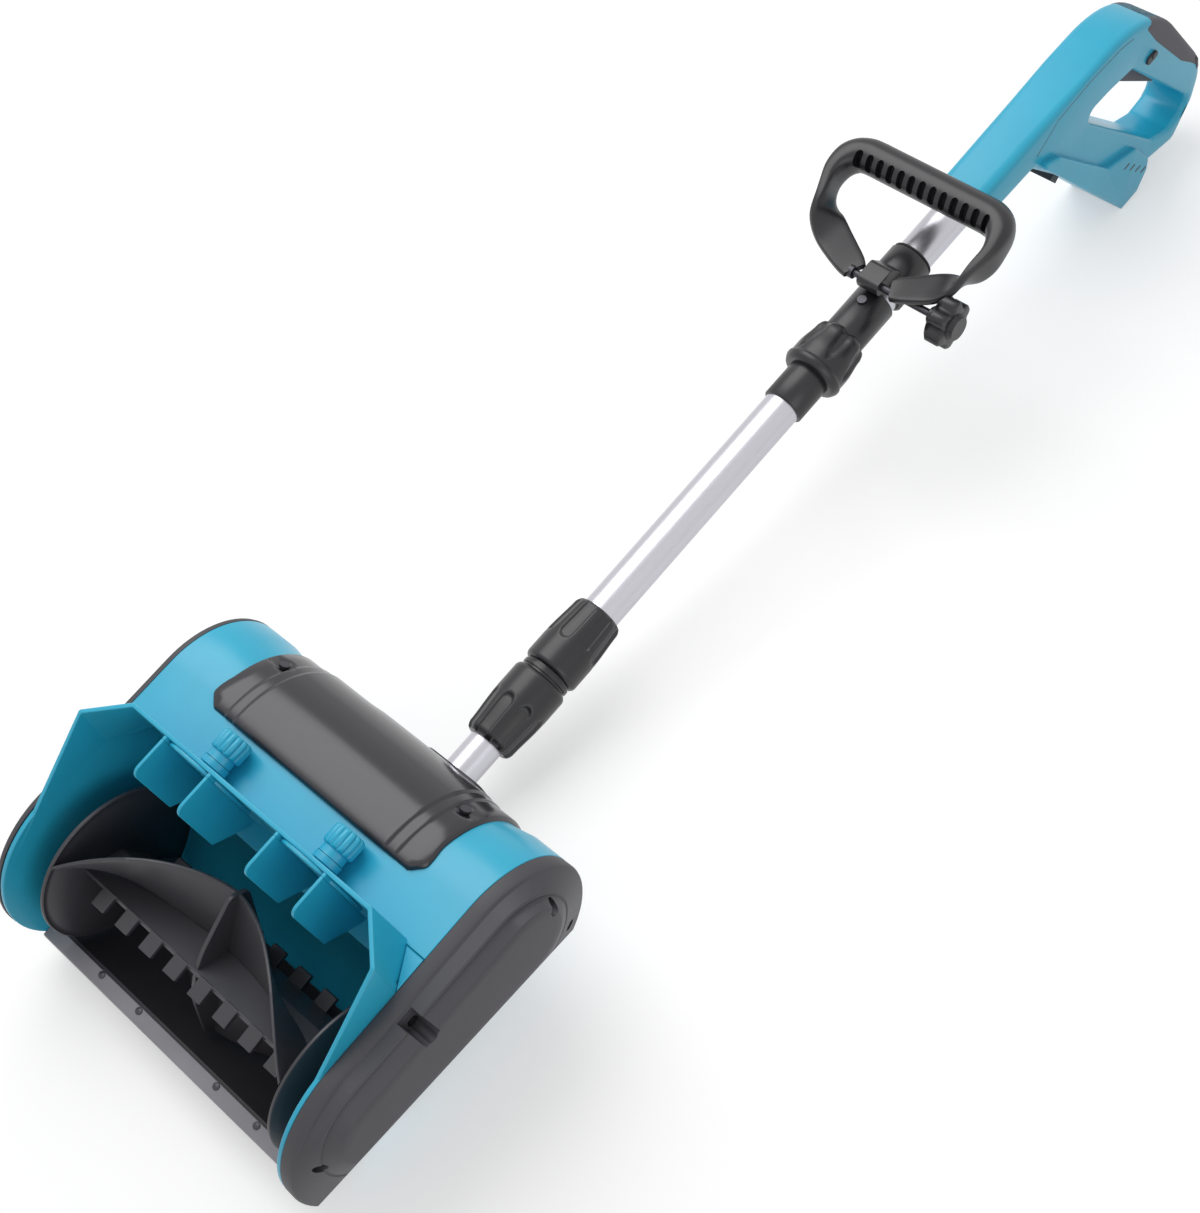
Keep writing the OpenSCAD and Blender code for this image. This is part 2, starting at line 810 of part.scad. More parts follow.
// ---- Pole ---------------------------------------------------------------

module lower_tube() {
  color(silver) difference() {
    pipe(lower_tube_d, lower_tube_d - 2 * tube_wall, socket_z, lock_gap_low + telescope_len);
    x_rod([0, socket_z + 50], clamp_bolt_d / 2, -40, 40);
  }
}

// Threaded body between the two lock nuts, glued round the middle tube
coupler_d = lock_nut_d - 8;
module lock_coupler() {
  color(black) {
    pipe(coupler_d, lower_tube_d + 2 * gap, lock_low + 10, lock_high - 10);
    pipe(coupler_d + 3, coupler_d, lock_gap_low + 2, lock_gap_high - 2);
  }
}

// Lock nut with finger flutes, plain ring end at z0 and fluted end at z1
module lock_nut(z0, z1, bore) {
  up = z1 > z0 ? 1 : -1;
  step = z0 + up * 22;
  flutes = 8;
  difference() {
    union() {
      cylinder_between(lock_nut_d - 4, lock_nut_d, z0, z0 + up * 4);
      cylinder_between(lock_nut_d, lock_nut_d, z0 + up * 4, step);
      cylinder_between(lock_nut_d - 0.5, lock_nut_d - 3, step, z1 - up * 4);
      cylinder_between(lock_nut_d - 3, lock_nut_d - 8, z1 - up * 4, z1);
    }
    cylinder_between(coupler_d + 2 * gap, coupler_d + 2 * gap, z0 - up, z1 - up * 9.5);
    cylinder_between(bore, bore, z1 - up * 12, z1 + up);
    for (i = [0:flutes - 1]) rotate([0, 0, 360 / flutes * i])
      translate([lock_nut_d / 2 + 1, 0, 0]) cylinder_between(7, 7, step, z1 + up);
  }
}

module cylinder_between(d0, d1, z0, z1) {
  low = min(z0, z1);
  translate([0, 0, low])
    cylinder(d1 = z0 < z1 ? d0 : d1, d2 = z0 < z1 ? d1 : d0, h = abs(z1 - z0));
}

module lower_lock_nut() {
  color(black) lock_nut(lock_gap_low, lock_low, lower_tube_d + 2 * gap);
}

module upper_lock_nut() {
  color(black) lock_nut(lock_gap_high, lock_high, tube_d + 2 * gap);
}

module middle_tube() {
  color(silver) pipe(tube_d, bore_d, lock_high - 10, coupling_low + 20);
}

module lower_sleeve() {
  color(black) pipe(sleeve_d, tube_d, sleeve_low, coupling_low + 20);
}

module upper_sleeve() {
  color(black) difference() {
    union() {
      pipe(sleeve_d, tube_d, coupling_low + 20, sleeve_high);
      pipe(sleeve_d + 3, sleeve_d, coupling_low + 14, coupling_low + 26);
    }
    translate([0, 0, sleeve_high - 13]) rotate([90, 0, 0]) cylinder(d = 4, h = 40);
  }
}

module coupling_nut() {
  bore = sleeve_d + 2 * gap;
  flutes = 6;
  color(black) difference() {
    union() {
      cylinder_between(coupling_nut_d - 6, coupling_nut_d, coupling_low, coupling_low + 4);
      cylinder_between(coupling_nut_d, coupling_nut_d, coupling_low + 4, coupling_high - 6);
      cylinder_between(coupling_nut_d, coupling_nut_d - 6, coupling_high - 6, coupling_high);
      cylinder_between(coupling_nut_d + 1, coupling_nut_d + 1, coupling_low + 5, coupling_low + 8);
    }
    cylinder_between(bore, bore, coupling_low - 1, coupling_high + 1);
    cylinder_between(bore + 3 + gap, bore + 3 + gap, coupling_low + 12, coupling_low + 28);
    for (i = [0:flutes - 1]) rotate([0, 0, 360 / flutes * i])
      translate([coupling_nut_d / 2 + 2.5, 0, 0])
        cylinder_between(9, 9, coupling_low + 10, coupling_high + 1);
  }
}

module sleeve_screw() {
  color(steel) translate([0, 0, sleeve_high - 13]) rotate([90, 0, 0]) {
    translate([0, 0, tube_d / 2]) cylinder(d = 4, h = (sleeve_d - tube_d) / 2);
    translate([0, 0, sleeve_d / 2]) cylinder(d = 7.5, h = 1.5);
  }
}

module upper_tube() {
  color(silver) pipe(tube_d, bore_d, coupling_low + 20, tube_top);
}

// ---- Front handle -------------------------------------------------------

liner_d = tube_d + 3;
bolt_c = [-24, 684];
lug_half = 10;

module clamp_liner() {
  color(soft_black) {
    pipe(liner_d, tube_d + 2 * fit, clamp_low, clamp_low + clamp_h);
    pipe(liner_d + 2, liner_d, clamp_low + clamp_h + gap, clamp_low + clamp_h + 2);
    pipe(liner_d, tube_d + 2 * fit, clamp_low + clamp_h, clamp_low + clamp_h + 2);
  }
}

module clamp_ring() {
  color(black) difference() {
    union() {
      cylinder_up(clamp_d, clamp_low, clamp_low + clamp_h);
      across(-lug_half, lug_half)
        polygon(rounded([[bolt_c.x - 7, bolt_c.y - 7, 5], [bolt_c.x + 6, bolt_c.y - 7, 5],
                         [-sleeve_d / 2 - gap, clamp_low, 0], [-sleeve_d / 2 - gap, clamp_low + 16, 0],
                         [bolt_c.x - 7, clamp_low + 6, 5]]));
    }
    cylinder_up(liner_d + 2 * fit, clamp_low - 20, clamp_low + clamp_h + 1);
    x_rod(bolt_c, clamp_bolt_d / 2, -lug_half - 1, lug_half + 1);
  }
}

bar_y = -54;
bar_z = 762;
elbow = [d_half - arm_t, 716];
ear_x = lug_half + gap;
ear_t = 7;
bolt_head_r = 0.9 * clamp_bolt_d;
module d_handle() {
  color(black) difference() {
    union() {
      // Straight bar
      x_rod([bar_y, bar_z], bar_d / 2, -d_half + 12, d_half - 12);
      for (s = [-1, 1]) {
        // Rounded shoulder from the bar into the arm
        hull() {
          translate([s * (d_half - 13), bar_y, bar_z]) sphere(d = 26, $fn = coarse);
          translate([s * (elbow.x + 1), -44, elbow.y + 20]) cube([arm_t, arm_w, 2], center = true);
        }
        hull() {
          translate([s * (elbow.x + 1), -44, elbow.y + 20]) cube([arm_t, arm_w, 2], center = true);
          translate([s * (elbow.x - 4), -34, elbow.y]) cube([arm_t, arm_w, 2], center = true);
        }
        hull() {
          translate([s * (elbow.x - 4), -34, elbow.y]) cube([arm_t, arm_w, 2], center = true);
          translate([s * (ear_x + ear_t / 2 + 2), bolt_c.x - 2, bolt_c.y]) cube([ear_t, 20, 12], center = true);
        }
        e = s > 0 ? ear_x : -ear_x - ear_t;
        x_rod(bolt_c, 9, e, e + ear_t);
      }
    }
    for (i = [-6:6]) translate([i * 10, bar_y, bar_z - bar_d / 2])
      rotate([90, 0, 0]) cylinder(d = 6, h = bar_d, center = true, $fn = 16);
    x_rod(bolt_c, clamp_bolt_d / 2 + fit, -60, 60);
    x_rod(bolt_c, bolt_head_r + gap, -60, -ear_x - ear_t);
    cylinder_up(clamp_d + 4 * gap, clamp_low - 30, clamp_low + clamp_h + 40);
    across(-ear_x, ear_x) translate([-60, 660]) square([70, 50]);
  }
}

knob_x = 64;
module clamp_bolt() {
  color(steel) {
    x_rod(bolt_c, clamp_bolt_d / 2, -ear_x - ear_t, knob_x + 14);
    x_rod(bolt_c, bolt_head_r, -ear_x - ear_t - 4, -ear_x - ear_t);
  }
}

module clamp_knob() {
  lobes = 6;
  color(black) difference() {
    union() {
      x_rod(bolt_c, clamp_knob_d / 2 - 7, knob_x, knob_x + 20);
      x_rod(bolt_c, 9, knob_x - 8, knob_x);
      for (i = [0:lobes - 1])
        translate([knob_x + 2, bolt_c.x, bolt_c.y]) rotate([360 / lobes * i, 0, 0])
          translate([0, clamp_knob_d / 2 - 8, 0]) rotate([0, 90, 0]) cylinder(r = 8, h = 16);
    }
    x_rod(bolt_c, clamp_bolt_d / 2 + fit, knob_x - 10, knob_x + 14.3);
  }
}

// ---- Rear handle --------------------------------------------------------

loop_outline = [[24, 922, 8], [26, 958, 8], [31, 991, 5], [152, 1075, 12], [157, 1040, 10],
                [146, 1017, 10]];
button_c = [40, 1015];
trigger_pin = [93, 1039];
trigger_outline = [[46, 998, 2], [54, 991, 4], [99, 1036, 3], [99, 1043, 2], [62, 1034, 2],
                   [46, 1016, 2]];

module loop_view() {
  polygon(rounded(loop_outline, 6));
}

module handle_view() {
  difference() {
    polygon(handle_outline);
    loop_view();
  }
}

// Hollows inside the handle, as side views
module hollow_view() {
  front = column_front + shell_wall;
  difference() {
    union() {
      polygon(rounded([[front, tube_top + 6, 3], [front, 958, 6], [-8, 996, 8], [2, 1011, 6],
                       [20, 1029, 3], [20, 936, 3],
                       [column_back - shell_wall, 904, 3], [column_back - shell_wall, tube_top + 6, 3]]));
      polygon(rounded([[16, 998, 2], [16, 1026, 2], [106, 1079, 4], [136, 1079, 4], [142, 1073, 2],
                       [40, 1003, 2]]));
      polygon(rounded([[34, 900, 3], [34, 925, 3], [140, 1006, 3], [154, 992, 3], [154, 972, 3]]));
    }
    for (p = handle_screw_spots) translate(p) circle(4.5);
  }
}

// Soft skin over the grip: a strip along the crown with a flank on each side
module overmould_form() {
  region = [[-40, 1003], [3, 1009], [28, 1020], [87, 1056], [102, 1071], [112, 1120], [-40, 1120]];
  difference() {
    across(-rear_half, rear_half) intersection() {
      polygon(handle_outline);
      polygon(region);
    }
    across(-rear_half + skin_t, rear_half - skin_t)
      translate([0.5 * skin_t, -skin_t]) polygon(handle_outline);
  }
}

// One half of the rear handle, s = 1 on the belt side
module handle_half(s) {
  a = s > 0 ? 0 : -rear_half;
  cavity = rear_half - shell_wall;
  difference() {
    union() {
      across(a, a + rear_half) handle_view();
      f = s > 0 ? rear_half : -foot_half;
      across(f, f + foot_half - rear_half)
        polygon(rounded([[12, 860, 3], [26, 885, 4], [106, 946, 6], [122, 986, 6], [152, 1003, 5],
                         [164, 1000, 3], [178, 985, 3], [foot.x, foot.y, 0], [52, 885, 10]]));
    }
    c = s > 0 ? -1 : -cavity;
    across(c, c + cavity + 1) hollow_view();
    cylinder_up(tube_d, body_z - 1, tube_top);
    // Slot for the trigger and bore for its pin
    across(-trigger_half - gap, trigger_half + gap) trigger_slot();
    x_rod(trigger_pin, 1.5, -rear_half + shell_wall + 2, rear_half - shell_wall - 2);
    x_rod(button_c, button_r + gap, 0, rear_half + 1);
    for (p = handle_screw_spots) {
      x_rod(p, 1.75, -rear_half + 4, foot_half + 1);
      x_rod(p, 3.6, rear_half - 6, foot_half + 1);
    }
    overmould_form();
    battery_slot();
    // Charge gauge slots
    for (i = [0:3]) translate([foot_half, 129 + 9.7 * i, 971 + 6.3 * i])
      cube([1.6, 2, 6], center = true);
  }
}

// Slideway under the foot: a channel with a groove along each side, open to the back
module battery_slot() {
  run = atan2(foot.y - 885, foot.x - 52);
  translate([0, 52, 885]) rotate([run, 0, 0]) {
    translate([-slot_half, 14, -1]) cube([2 * slot_half, 200, slot_depth + 1]);
    translate([-slot_half - 2.5, 14, slot_depth - 4]) cube([2 * slot_half + 5, 200, 3]);
  }
}

module trigger_slot() {
  polygon([[38, 975], [38, 1024], [60, 1042], [103, 1060], [103, 1015], [60, 965]]);
}

module right_handle_shell() {
  color(teal) handle_half(1);
}

module left_handle_shell() {
  color(teal) handle_half(-1);
}

module handle_screws() {
  color(steel) for (p = handle_screw_spots) {
    x_rod(p, 1.75, -rear_half + 4, rear_half - 6);
    x_rod(p, 3.3, rear_half - 6, rear_half - 3);
  }
}

module grip_overmould() {
  color([0.33, 0.33, 0.36]) overmould_form();
}

module trigger() {
  color([0.3, 0.3, 0.32]) difference() {
    across(-trigger_half, trigger_half) polygon(rounded(trigger_outline, 4));
    x_rod(trigger_pin, 1.5 + fit, -trigger_half - 1, trigger_half + 1);
  }
}

module trigger_axle() {
  color(steel) x_rod(trigger_pin, 1.5, -rear_half + shell_wall + 2, rear_half - shell_wall - 2);
}

// Switch block behind the trigger, standing on the grip's inner wall
module trigger_switch() {
  color(soft_black) across(-rear_half + shell_wall, trigger_half)
    polygon([[18, 1003], [35, 1003], [35, 1034], [18, 1026]]);
}

module lock_off_button() {
  color([0.3, 0.3, 0.32]) {
    x_rod(button_c, button_r, rear_half - 9, rear_half + button_travel);
  }
}

module control_board() {
  color([0.1, 0.35, 0.2]) across(-15, 15)
    translate([column_front + shell_wall, 900]) square([1.6, 54]);
}

// Contact block at the front of the slideway
module battery_terminals() {
  run = atan2(foot.y - 885, foot.x - 52);
  color(black) translate([0, 52, 885]) rotate([run, 0, 0])
    translate([-12, 14, -6]) cube([24, 12, slot_depth + 6]);
}

resting() rotor_casing();
resting() hood();
resting() lower_tray();
resting() scraper_bar();
resting() scraper_screws();
resting() motor_cover();
resting() motor_cover_screws();
resting() belt_cover();
resting() left_side_cover();
resting() side_cover_screws();
resting() pole_socket();
resting() socket_bolt();
resting() motor_can();
resting() motor_shaft();
resting() motor_pulley();
resting() drive_belt();
resting() rotor_pulley();
resting() left_bearing();
resting() right_bearing();
resting() rotor_shaft();
resting() rotor_core();
resting() left_end_disc();
resting() right_end_disc();
resting() middle_fin();
resting() front_blade();
resting() rear_blade();
resting() left_deflector();
resting() right_deflector();
resting() left_deflector_knob();
resting() right_deflector_knob();
resting() deflector_screws_left();
resting() deflector_screws_right();
resting() lower_tube();
resting() lock_coupler();
resting() lower_lock_nut();
resting() upper_lock_nut();
resting() middle_tube();
resting() lower_sleeve();
resting() coupling_nut();
resting() upper_sleeve();
resting() sleeve_screw();
resting() upper_tube();
resting() clamp_liner();
resting() clamp_ring();
resting() d_handle();
resting() clamp_bolt();
resting() clamp_knob();
resting() right_handle_shell();
resting() left_handle_shell();
resting() handle_screws();
resting() grip_overmould();
resting() trigger();
resting() trigger_axle();
resting() trigger_switch();
resting() lock_off_button();
resting() control_board();
resting() battery_terminals();
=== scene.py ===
# Cordless snow thrower lying on its back: rotor head, telescopic pole and two handles.
import json
import math

import bmesh
import bpy
from mathutils import Matrix, Vector


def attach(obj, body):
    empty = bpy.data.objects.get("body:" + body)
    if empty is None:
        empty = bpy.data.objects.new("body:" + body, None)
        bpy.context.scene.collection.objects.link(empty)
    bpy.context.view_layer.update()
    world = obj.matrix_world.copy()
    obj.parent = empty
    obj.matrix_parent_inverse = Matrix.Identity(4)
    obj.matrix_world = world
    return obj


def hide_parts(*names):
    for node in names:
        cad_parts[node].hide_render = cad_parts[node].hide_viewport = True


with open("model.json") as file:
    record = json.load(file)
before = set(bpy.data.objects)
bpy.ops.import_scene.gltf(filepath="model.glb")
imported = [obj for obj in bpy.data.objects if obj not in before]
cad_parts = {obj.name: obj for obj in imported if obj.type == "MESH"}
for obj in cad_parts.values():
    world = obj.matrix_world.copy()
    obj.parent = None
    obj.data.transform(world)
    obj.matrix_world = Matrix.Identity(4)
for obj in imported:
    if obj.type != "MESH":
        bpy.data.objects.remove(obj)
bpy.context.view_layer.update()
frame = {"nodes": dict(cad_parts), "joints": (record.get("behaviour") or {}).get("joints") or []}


# ---- Camera -------------------------------------------------------------------
# The camera stands at the belt side, ahead of the mouth, and is rolled so that the
# pole runs up the picture. All shapes below are in millimetres in the thrower's own
# frame: X to the belt side, Y to its back, Z up the pole, with the pole on X = Y = 0.
camera_at = (694.0, -1276.3, 50.65)
camera_azimuth, camera_tilt, camera_roll = 28.686, 11.911, 41.364
rotor_ahead, rotor_below = 72, 10


def joint(name):
    """The record's joint of that name."""
    return next(j for j in frame["joints"] if j["name"] == name)


pole_axis = Vector(joint("pole_telescope")["axis"]).normalized()
back_axis = Vector((0, pole_axis.z, -pole_axis.y))
origin = (Vector(joint("rotor_spin")["pos_m"]) + back_axis * rotor_ahead / 1000
          + pole_axis * rotor_below / 1000)
tool = Matrix.Identity(4)
for column, direction in enumerate((Vector((1, 0, 0)), back_axis, pole_axis)):
    for row in range(3):
        tool[row][column] = direction[row] / 1000
for row in range(3):
    tool[row][3] = origin[row]

azimuth, tilt, roll = (math.radians(a) for a in (camera_azimuth, camera_tilt, camera_roll))
level = Vector((math.cos(azimuth), math.sin(azimuth), 0))
ahead = Vector((-math.sin(azimuth) * math.cos(tilt), math.cos(azimuth) * math.cos(tilt),
                math.sin(tilt)))
overhead = level.cross(ahead)
across = level * math.cos(roll) + overhead * math.sin(roll)
upright = overhead * math.cos(roll) - level * math.sin(roll)
turn = Matrix((across, upright, -ahead)).transposed()
camera_data = bpy.data.cameras.new("camera")
camera_data.sensor_fit = "HORIZONTAL"
camera_data.sensor_width = 36
camera_data.lens = 60
camera = bpy.data.objects.new("camera", camera_data)
bpy.context.scene.collection.objects.link(camera)
camera.matrix_world = Matrix.Translation(tool @ Vector(camera_at)) @ (
    (tool.to_3x3() * 1000) @ turn).to_4x4()
bpy.context.scene.camera = camera
bpy.context.scene.view_settings.view_transform = "Standard"


# ---- Studio light and floor ---------------------------------------------------
# A white paper sweep under a large soft box and an even white sky. The paper is
# matt, and keeps a pale shadow of the thrower.
def linear(code):
    """An sRGB hex colour as linear RGBA."""
    parts = [int(code[i:i + 2], 16) / 255 for i in (0, 2, 4)]
    return [p / 12.92 if p <= 0.04045 else ((p + 0.055) / 1.055) ** 2.4 for p in parts] + [1]


def shade(material, kind, inputs=(), **settings):
    """Add one shader node with its settings, and link or set its inputs."""
    made = material.node_tree.nodes.new("ShaderNode" + kind)
    for name, value in settings.items():
        setattr(made, name, value)
    for socket, value in dict(inputs).items():
        if isinstance(value, bpy.types.NodeSocket):
            material.node_tree.links.new(value, made.inputs[socket])
        else:
            made.inputs[socket].default_value = value
    return made


def blank(name):
    """A material with an empty node tree."""
    material = bpy.data.materials.new(name)
    material.use_nodes = True
    material.node_tree.nodes.clear()
    return material


sky = bpy.data.worlds.new("studio sky")
sky.use_nodes = True
sky.node_tree.nodes.clear()
rays = shade(sky, "LightPath")
unlit = shade(sky, "Math", {0: rays.outputs["Is Camera Ray"], 1: rays.outputs["Is Glossy Ray"]},
              operation="MAXIMUM")
strength = shade(sky, "MapRange", {"Value": unlit.outputs[0], "To Min": 0.48, "To Max": 1.0})
glow = shade(sky, "Background", {"Color": (1, 1, 1, 1), "Strength": strength.outputs[0]})
shade(sky, "OutputWorld", {"Surface": glow.outputs[0]})
bpy.context.scene.world = sky

for name, place, target, size, power in (
        ("soft box", (-700, -1500, 900), (0, -60, 450), 1.5, 20),
        ("side fill", (1500, -700, -300), (0, -60, 300), 1.2, 5)):
    lamp = bpy.data.lights.new(name, "AREA")
    lamp.size = size
    lamp.energy = power
    light = bpy.data.objects.new(name, lamp)
    bpy.context.scene.collection.objects.link(light)
    light.location = tool @ Vector(place)
    facing = tool @ Vector(place) - tool @ Vector(target)
    light.rotation_euler = facing.to_track_quat("Z", "Y").to_euler()

# Matt white paper: no gloss, and lit from within for the camera so that it stays white
paper = blank("matt white paper")
rays = shade(paper, "LightPath")
lit = shade(paper, "BsdfDiffuse", {"Color": linear("d0d0d0")})
glow = shade(paper, "Emission", {"Color": (1, 1, 1, 1), "Strength": 0.46})
both = shade(paper, "AddShader", {0: lit.outputs[0], 1: glow.outputs[0]})
seen = shade(paper, "Math", {0: rays.outputs["Is Camera Ray"], 1: rays.outputs["Is Glossy Ray"]},
             operation="MAXIMUM")
mixed = shade(paper, "MixShader", {0: seen.outputs[0], 1: lit.outputs[0], 2: both.outputs[0]})
shade(paper, "OutputMaterial", {"Surface": mixed.outputs[0]})
sweep = bpy.data.meshes.new("paper")
paper_half, paper_level = 12, -0.0004
sweep.from_pydata([(x, y, paper_level) for x, y in (
    (-paper_half, -paper_half), (paper_half, -paper_half), (paper_half, paper_half),
    (-paper_half, paper_half))], [], [(0, 1, 2, 3)])
floor = bpy.data.objects.new("floor", sweep)
floor.data.materials.append(paper)
bpy.context.scene.collection.objects.link(floor)


# ---- Head casing --------------------------------------------------------------
# One teal ABS moulding: two side plates and a curved wall that runs over the motor and
# round the rotor. The wall steps out to a fender beside each plate. Injection moulded.
motor_at = Vector((-80, 116))
rotor_at = Vector((-rotor_ahead, -rotor_below))
high_r, low_r = 68, 77
tunnel_r = 68
tray_top = 15
hood_z = 75
mouth_back = -79
head_half = 148
plate_in, plate_out = 144, 147.7
plate_gap = 0.6
fender_inset = 3
fender_edge, fender_foot = 123, 107
front_wall_in, front_wall_back = 130, -134
front_wall_top, front_wall_foot = 78, 49


def plastic(name, colour, roughness, grain_mm, grain_depth_mm, mottle=0.04, edge_mm=0.5, ior=1.5):
    """A moulded plastic: faint mottle in its colour, a moulded grain and rounded edges."""
    material = blank(name)
    place = shade(material, "TexCoord")
    cloud = shade(material, "TexNoise", {"Vector": place.outputs["Object"], "Scale": 22.0,
                                         "Detail": 3.0})
    tint = shade(material, "ValToRGB", {"Fac": cloud.outputs["Fac"]})
    base = linear(colour)
    for stop, factor in ((0, 1 - mottle), (1, 1 + mottle)):
        tint.color_ramp.elements[stop].position = 0.3 + 0.4 * stop
        tint.color_ramp.elements[stop].color = [min(1, c * factor) for c in base[:3]] + [1]
    grain = shade(material, "TexNoise", {"Vector": place.outputs["Object"],
                                         "Scale": 1000 / grain_mm, "Detail": 2.0})
    gloss = shade(material, "MapRange", {"Value": grain.outputs["Fac"], "To Min": roughness - 0.05,
                                         "To Max": roughness + 0.05})
    edge = shade(material, "Bevel", {"Radius": edge_mm / 1000}, samples=3)
    bump = shade(material, "Bump", {"Height": grain.outputs["Fac"], "Strength": 0.6,
                                    "Distance": grain_depth_mm / 1000, "Normal": edge.outputs[0]})
    shell = shade(material, "BsdfPrincipled", {"Base Color": tint.outputs[0], "IOR": ior,
                                               "Roughness": gloss.outputs[0], "Normal": bump.outputs[0]})
    shade(material, "OutputMaterial", {"Surface": shell.outputs[0]})
    return material


# Teal ABS with a satin mould finish: an even colour with a soft, wide highlight.
# The 0.2 mm spark grain is drawn 0.8 mm wide, as it would not show otherwise.
teal_abs = plastic("satin teal ABS", "2aaccd", 0.3, 0.8, 0.01)


def rounded(corners, steps=6):
    """A closed outline through corners (a, b, radius); a fourth number rides along."""
    out = []
    for i, corner in enumerate(corners):
        at, radius, extra = Vector(corner[:2]), corner[2], list(corner[3:])
        if radius == 0:
            out.append([at.x, at.y] + extra)
            continue
        before = (Vector(corners[i - 1][:2]) - at).normalized()
        after = (Vector(corners[(i + 1) % len(corners)][:2]) - at).normalized()
        half = before.angle(after) / 2
        centre = at + (before + after).normalized() * radius / math.sin(half)
        start = at + before * radius / math.tan(half) - centre
        end = at + after * radius / math.tan(half) - centre
        first = math.atan2(start.y, start.x)
        sweep_angle = (math.atan2(end.y, end.x) - first + math.pi) % (2 * math.pi) - math.pi
        count = steps if radius < 40 else 2 * steps
        for k in range(count + 1):
            angle = first + sweep_angle * k / count
            out.append([centre.x + radius * math.cos(angle),
                        centre.y + radius * math.sin(angle)] + extra)
    return out


def bow(centre, radius, start, end, steps):
    """Points along an arc, angles in radians."""
    return [(centre.x + radius * math.cos(start + (end - start) * k / steps),
             centre.y + radius * math.sin(start + (end - start) * k / steps))
            for k in range(steps + 1)]


def tangents(c1, r1, c2, r2):
    """The two angles at which the outline round two circles leaves them."""
    run = c2 - c1
    middle = math.atan2(run.y, run.x)
    spread = math.acos((r1 - r2) / run.length)
    return middle - spread, middle + spread


def egg(c1, r1, c2, r2, steps=40):
    """Closed outline round two circles."""
    low, high = tangents(c1, r1, c2, r2)
    return bow(c1, r1, high, low + 2 * math.pi, steps) + bow(c2, r2, low, high, steps)


def at_x(outline, x):
    """A side view's outline set at a place across the thrower."""
    return [Vector((x, p[0], p[1])) for p in outline]


def loft(form, rings, caps=True):
    """Skin a row of closed rings that have the same number of points."""
    rows = [[form.verts.new(p) for p in ring] for ring in rings]
    count = len(rows[0])
    for low, high in zip(rows, rows[1:]):
        for i in range(count):
            k = (i + 1) % count
            form.faces.new((low[i], low[k], high[k], high[i]))
    if caps:
        form.faces.new(rows[0][::-1])
        form.faces.new(rows[-1])


def slab(form, outline, x0, x1):
    """A side view's outline made solid between two places across the thrower."""
    loft(form, [at_x(outline, x0), at_x(outline, x1)])


def carve(form, cutter, operation="DIFFERENCE"):
    """Cut one closed form out of another, or join them."""
    blanks = []
    for part in (form, cutter):
        bmesh.ops.recalc_face_normals(part, faces=part.faces)
        mesh = bpy.data.meshes.new("blank")
        part.to_mesh(mesh)
        part.free()
        blanks.append(bpy.data.objects.new("blank", mesh))
        bpy.context.scene.collection.objects.link(blanks[-1])
    cut = blanks[0].modifiers.new("cut", "BOOLEAN")
    cut.operation = operation
    cut.object = blanks[1]
    cut.solver = "EXACT"
    cut.use_self = True
    bpy.context.view_layer.update()
    shaped = blanks[0].evaluated_get(bpy.context.evaluated_depsgraph_get())
    result = bmesh.new()
    result.from_mesh(shaped.to_mesh())
    for thing in blanks:
        mesh = thing.data
        bpy.data.objects.remove(thing)
        bpy.data.meshes.remove(mesh)
    return result


def dress(names, material):
    """Give CAD nodes their finish."""
    for name in names:
        frame["nodes"][name].data.materials.clear()
        frame["nodes"][name].data.materials.append(material)


def piece(name, form, material, body, nodes=(), edge=0.0, segments=2, sharp=32, thick=0.0):
    """Turn a form into a finished piece of the thrower that stands for CAD nodes."""
    bmesh.ops.recalc_face_normals(form, faces=form.faces)
    mesh = bpy.data.meshes.new(name)
    form.to_mesh(mesh)
    form.free()
    mesh.transform(tool)
    mesh.shade_smooth()
    mesh.materials.append(material)
    made = bpy.data.objects.new(name, mesh)
    bpy.context.scene.collection.objects.link(made)
    if thick:
        wall = made.modifiers.new("wall", "SOLIDIFY")
        wall.thickness = thick / 1000
        wall.offset = -1
        wall.use_even_offset = True
    if edge:
        rim = made.modifiers.new("rim", "BEVEL")
        rim.width = edge / 1000
        rim.segments = segments
        rim.limit_method = "ANGLE"
        rim.angle_limit = math.radians(sharp)
        rim.use_clamp_overlap = False
        rim.harden_normals = True
    else:
        mesh.set_sharp_from_angle(angle=math.radians(sharp))
    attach(made, body)
    if nodes:
        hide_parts(*nodes)
        dress(nodes, material)
    return made


def front_point(inset, z):
    """The point of the casing's front at a height, between the two arcs."""
    low, _ = tangents(motor_at, high_r - inset, rotor_at, low_r - inset)
    top = motor_at + (high_r - inset) * Vector((math.cos(low), math.sin(low)))
    bottom = rotor_at + (low_r - inset) * Vector((math.cos(low), math.sin(low)))
    share = (z - bottom.y) / (top.y - bottom.y)
    return bottom.lerp(top, share)


def tray_angle(radius):
    """Angle about the rotor's axis at which the tray meets the casing."""
    return math.asin((tray_top - rotor_at.y) / radius)


def wall_outline(inset):
    """Section of the casing's wall from the tray's edge at the back over to the hood."""
    low, high = tangents(motor_at, high_r - inset, rotor_at, low_r - inset)
    front = front_point(inset, hood_z)
    lip = math.acos((mouth_back - rotor_at.x) / tunnel_r)
    return (bow(rotor_at, low_r - inset, tray_angle(low_r - inset), high, 5)
            + bow(motor_at, high_r - inset, high, low + 2 * math.pi, 48)
            + [(front.x, front.y), (mouth_back, hood_z)]
            + bow(rotor_at, tunnel_r, lip, tray_angle(tunnel_r), 26))


# The belt end's back corner is cut off by a slanting plane
slant_ahead, slant_turn, slant_lean = 20, 23.4, 6.1


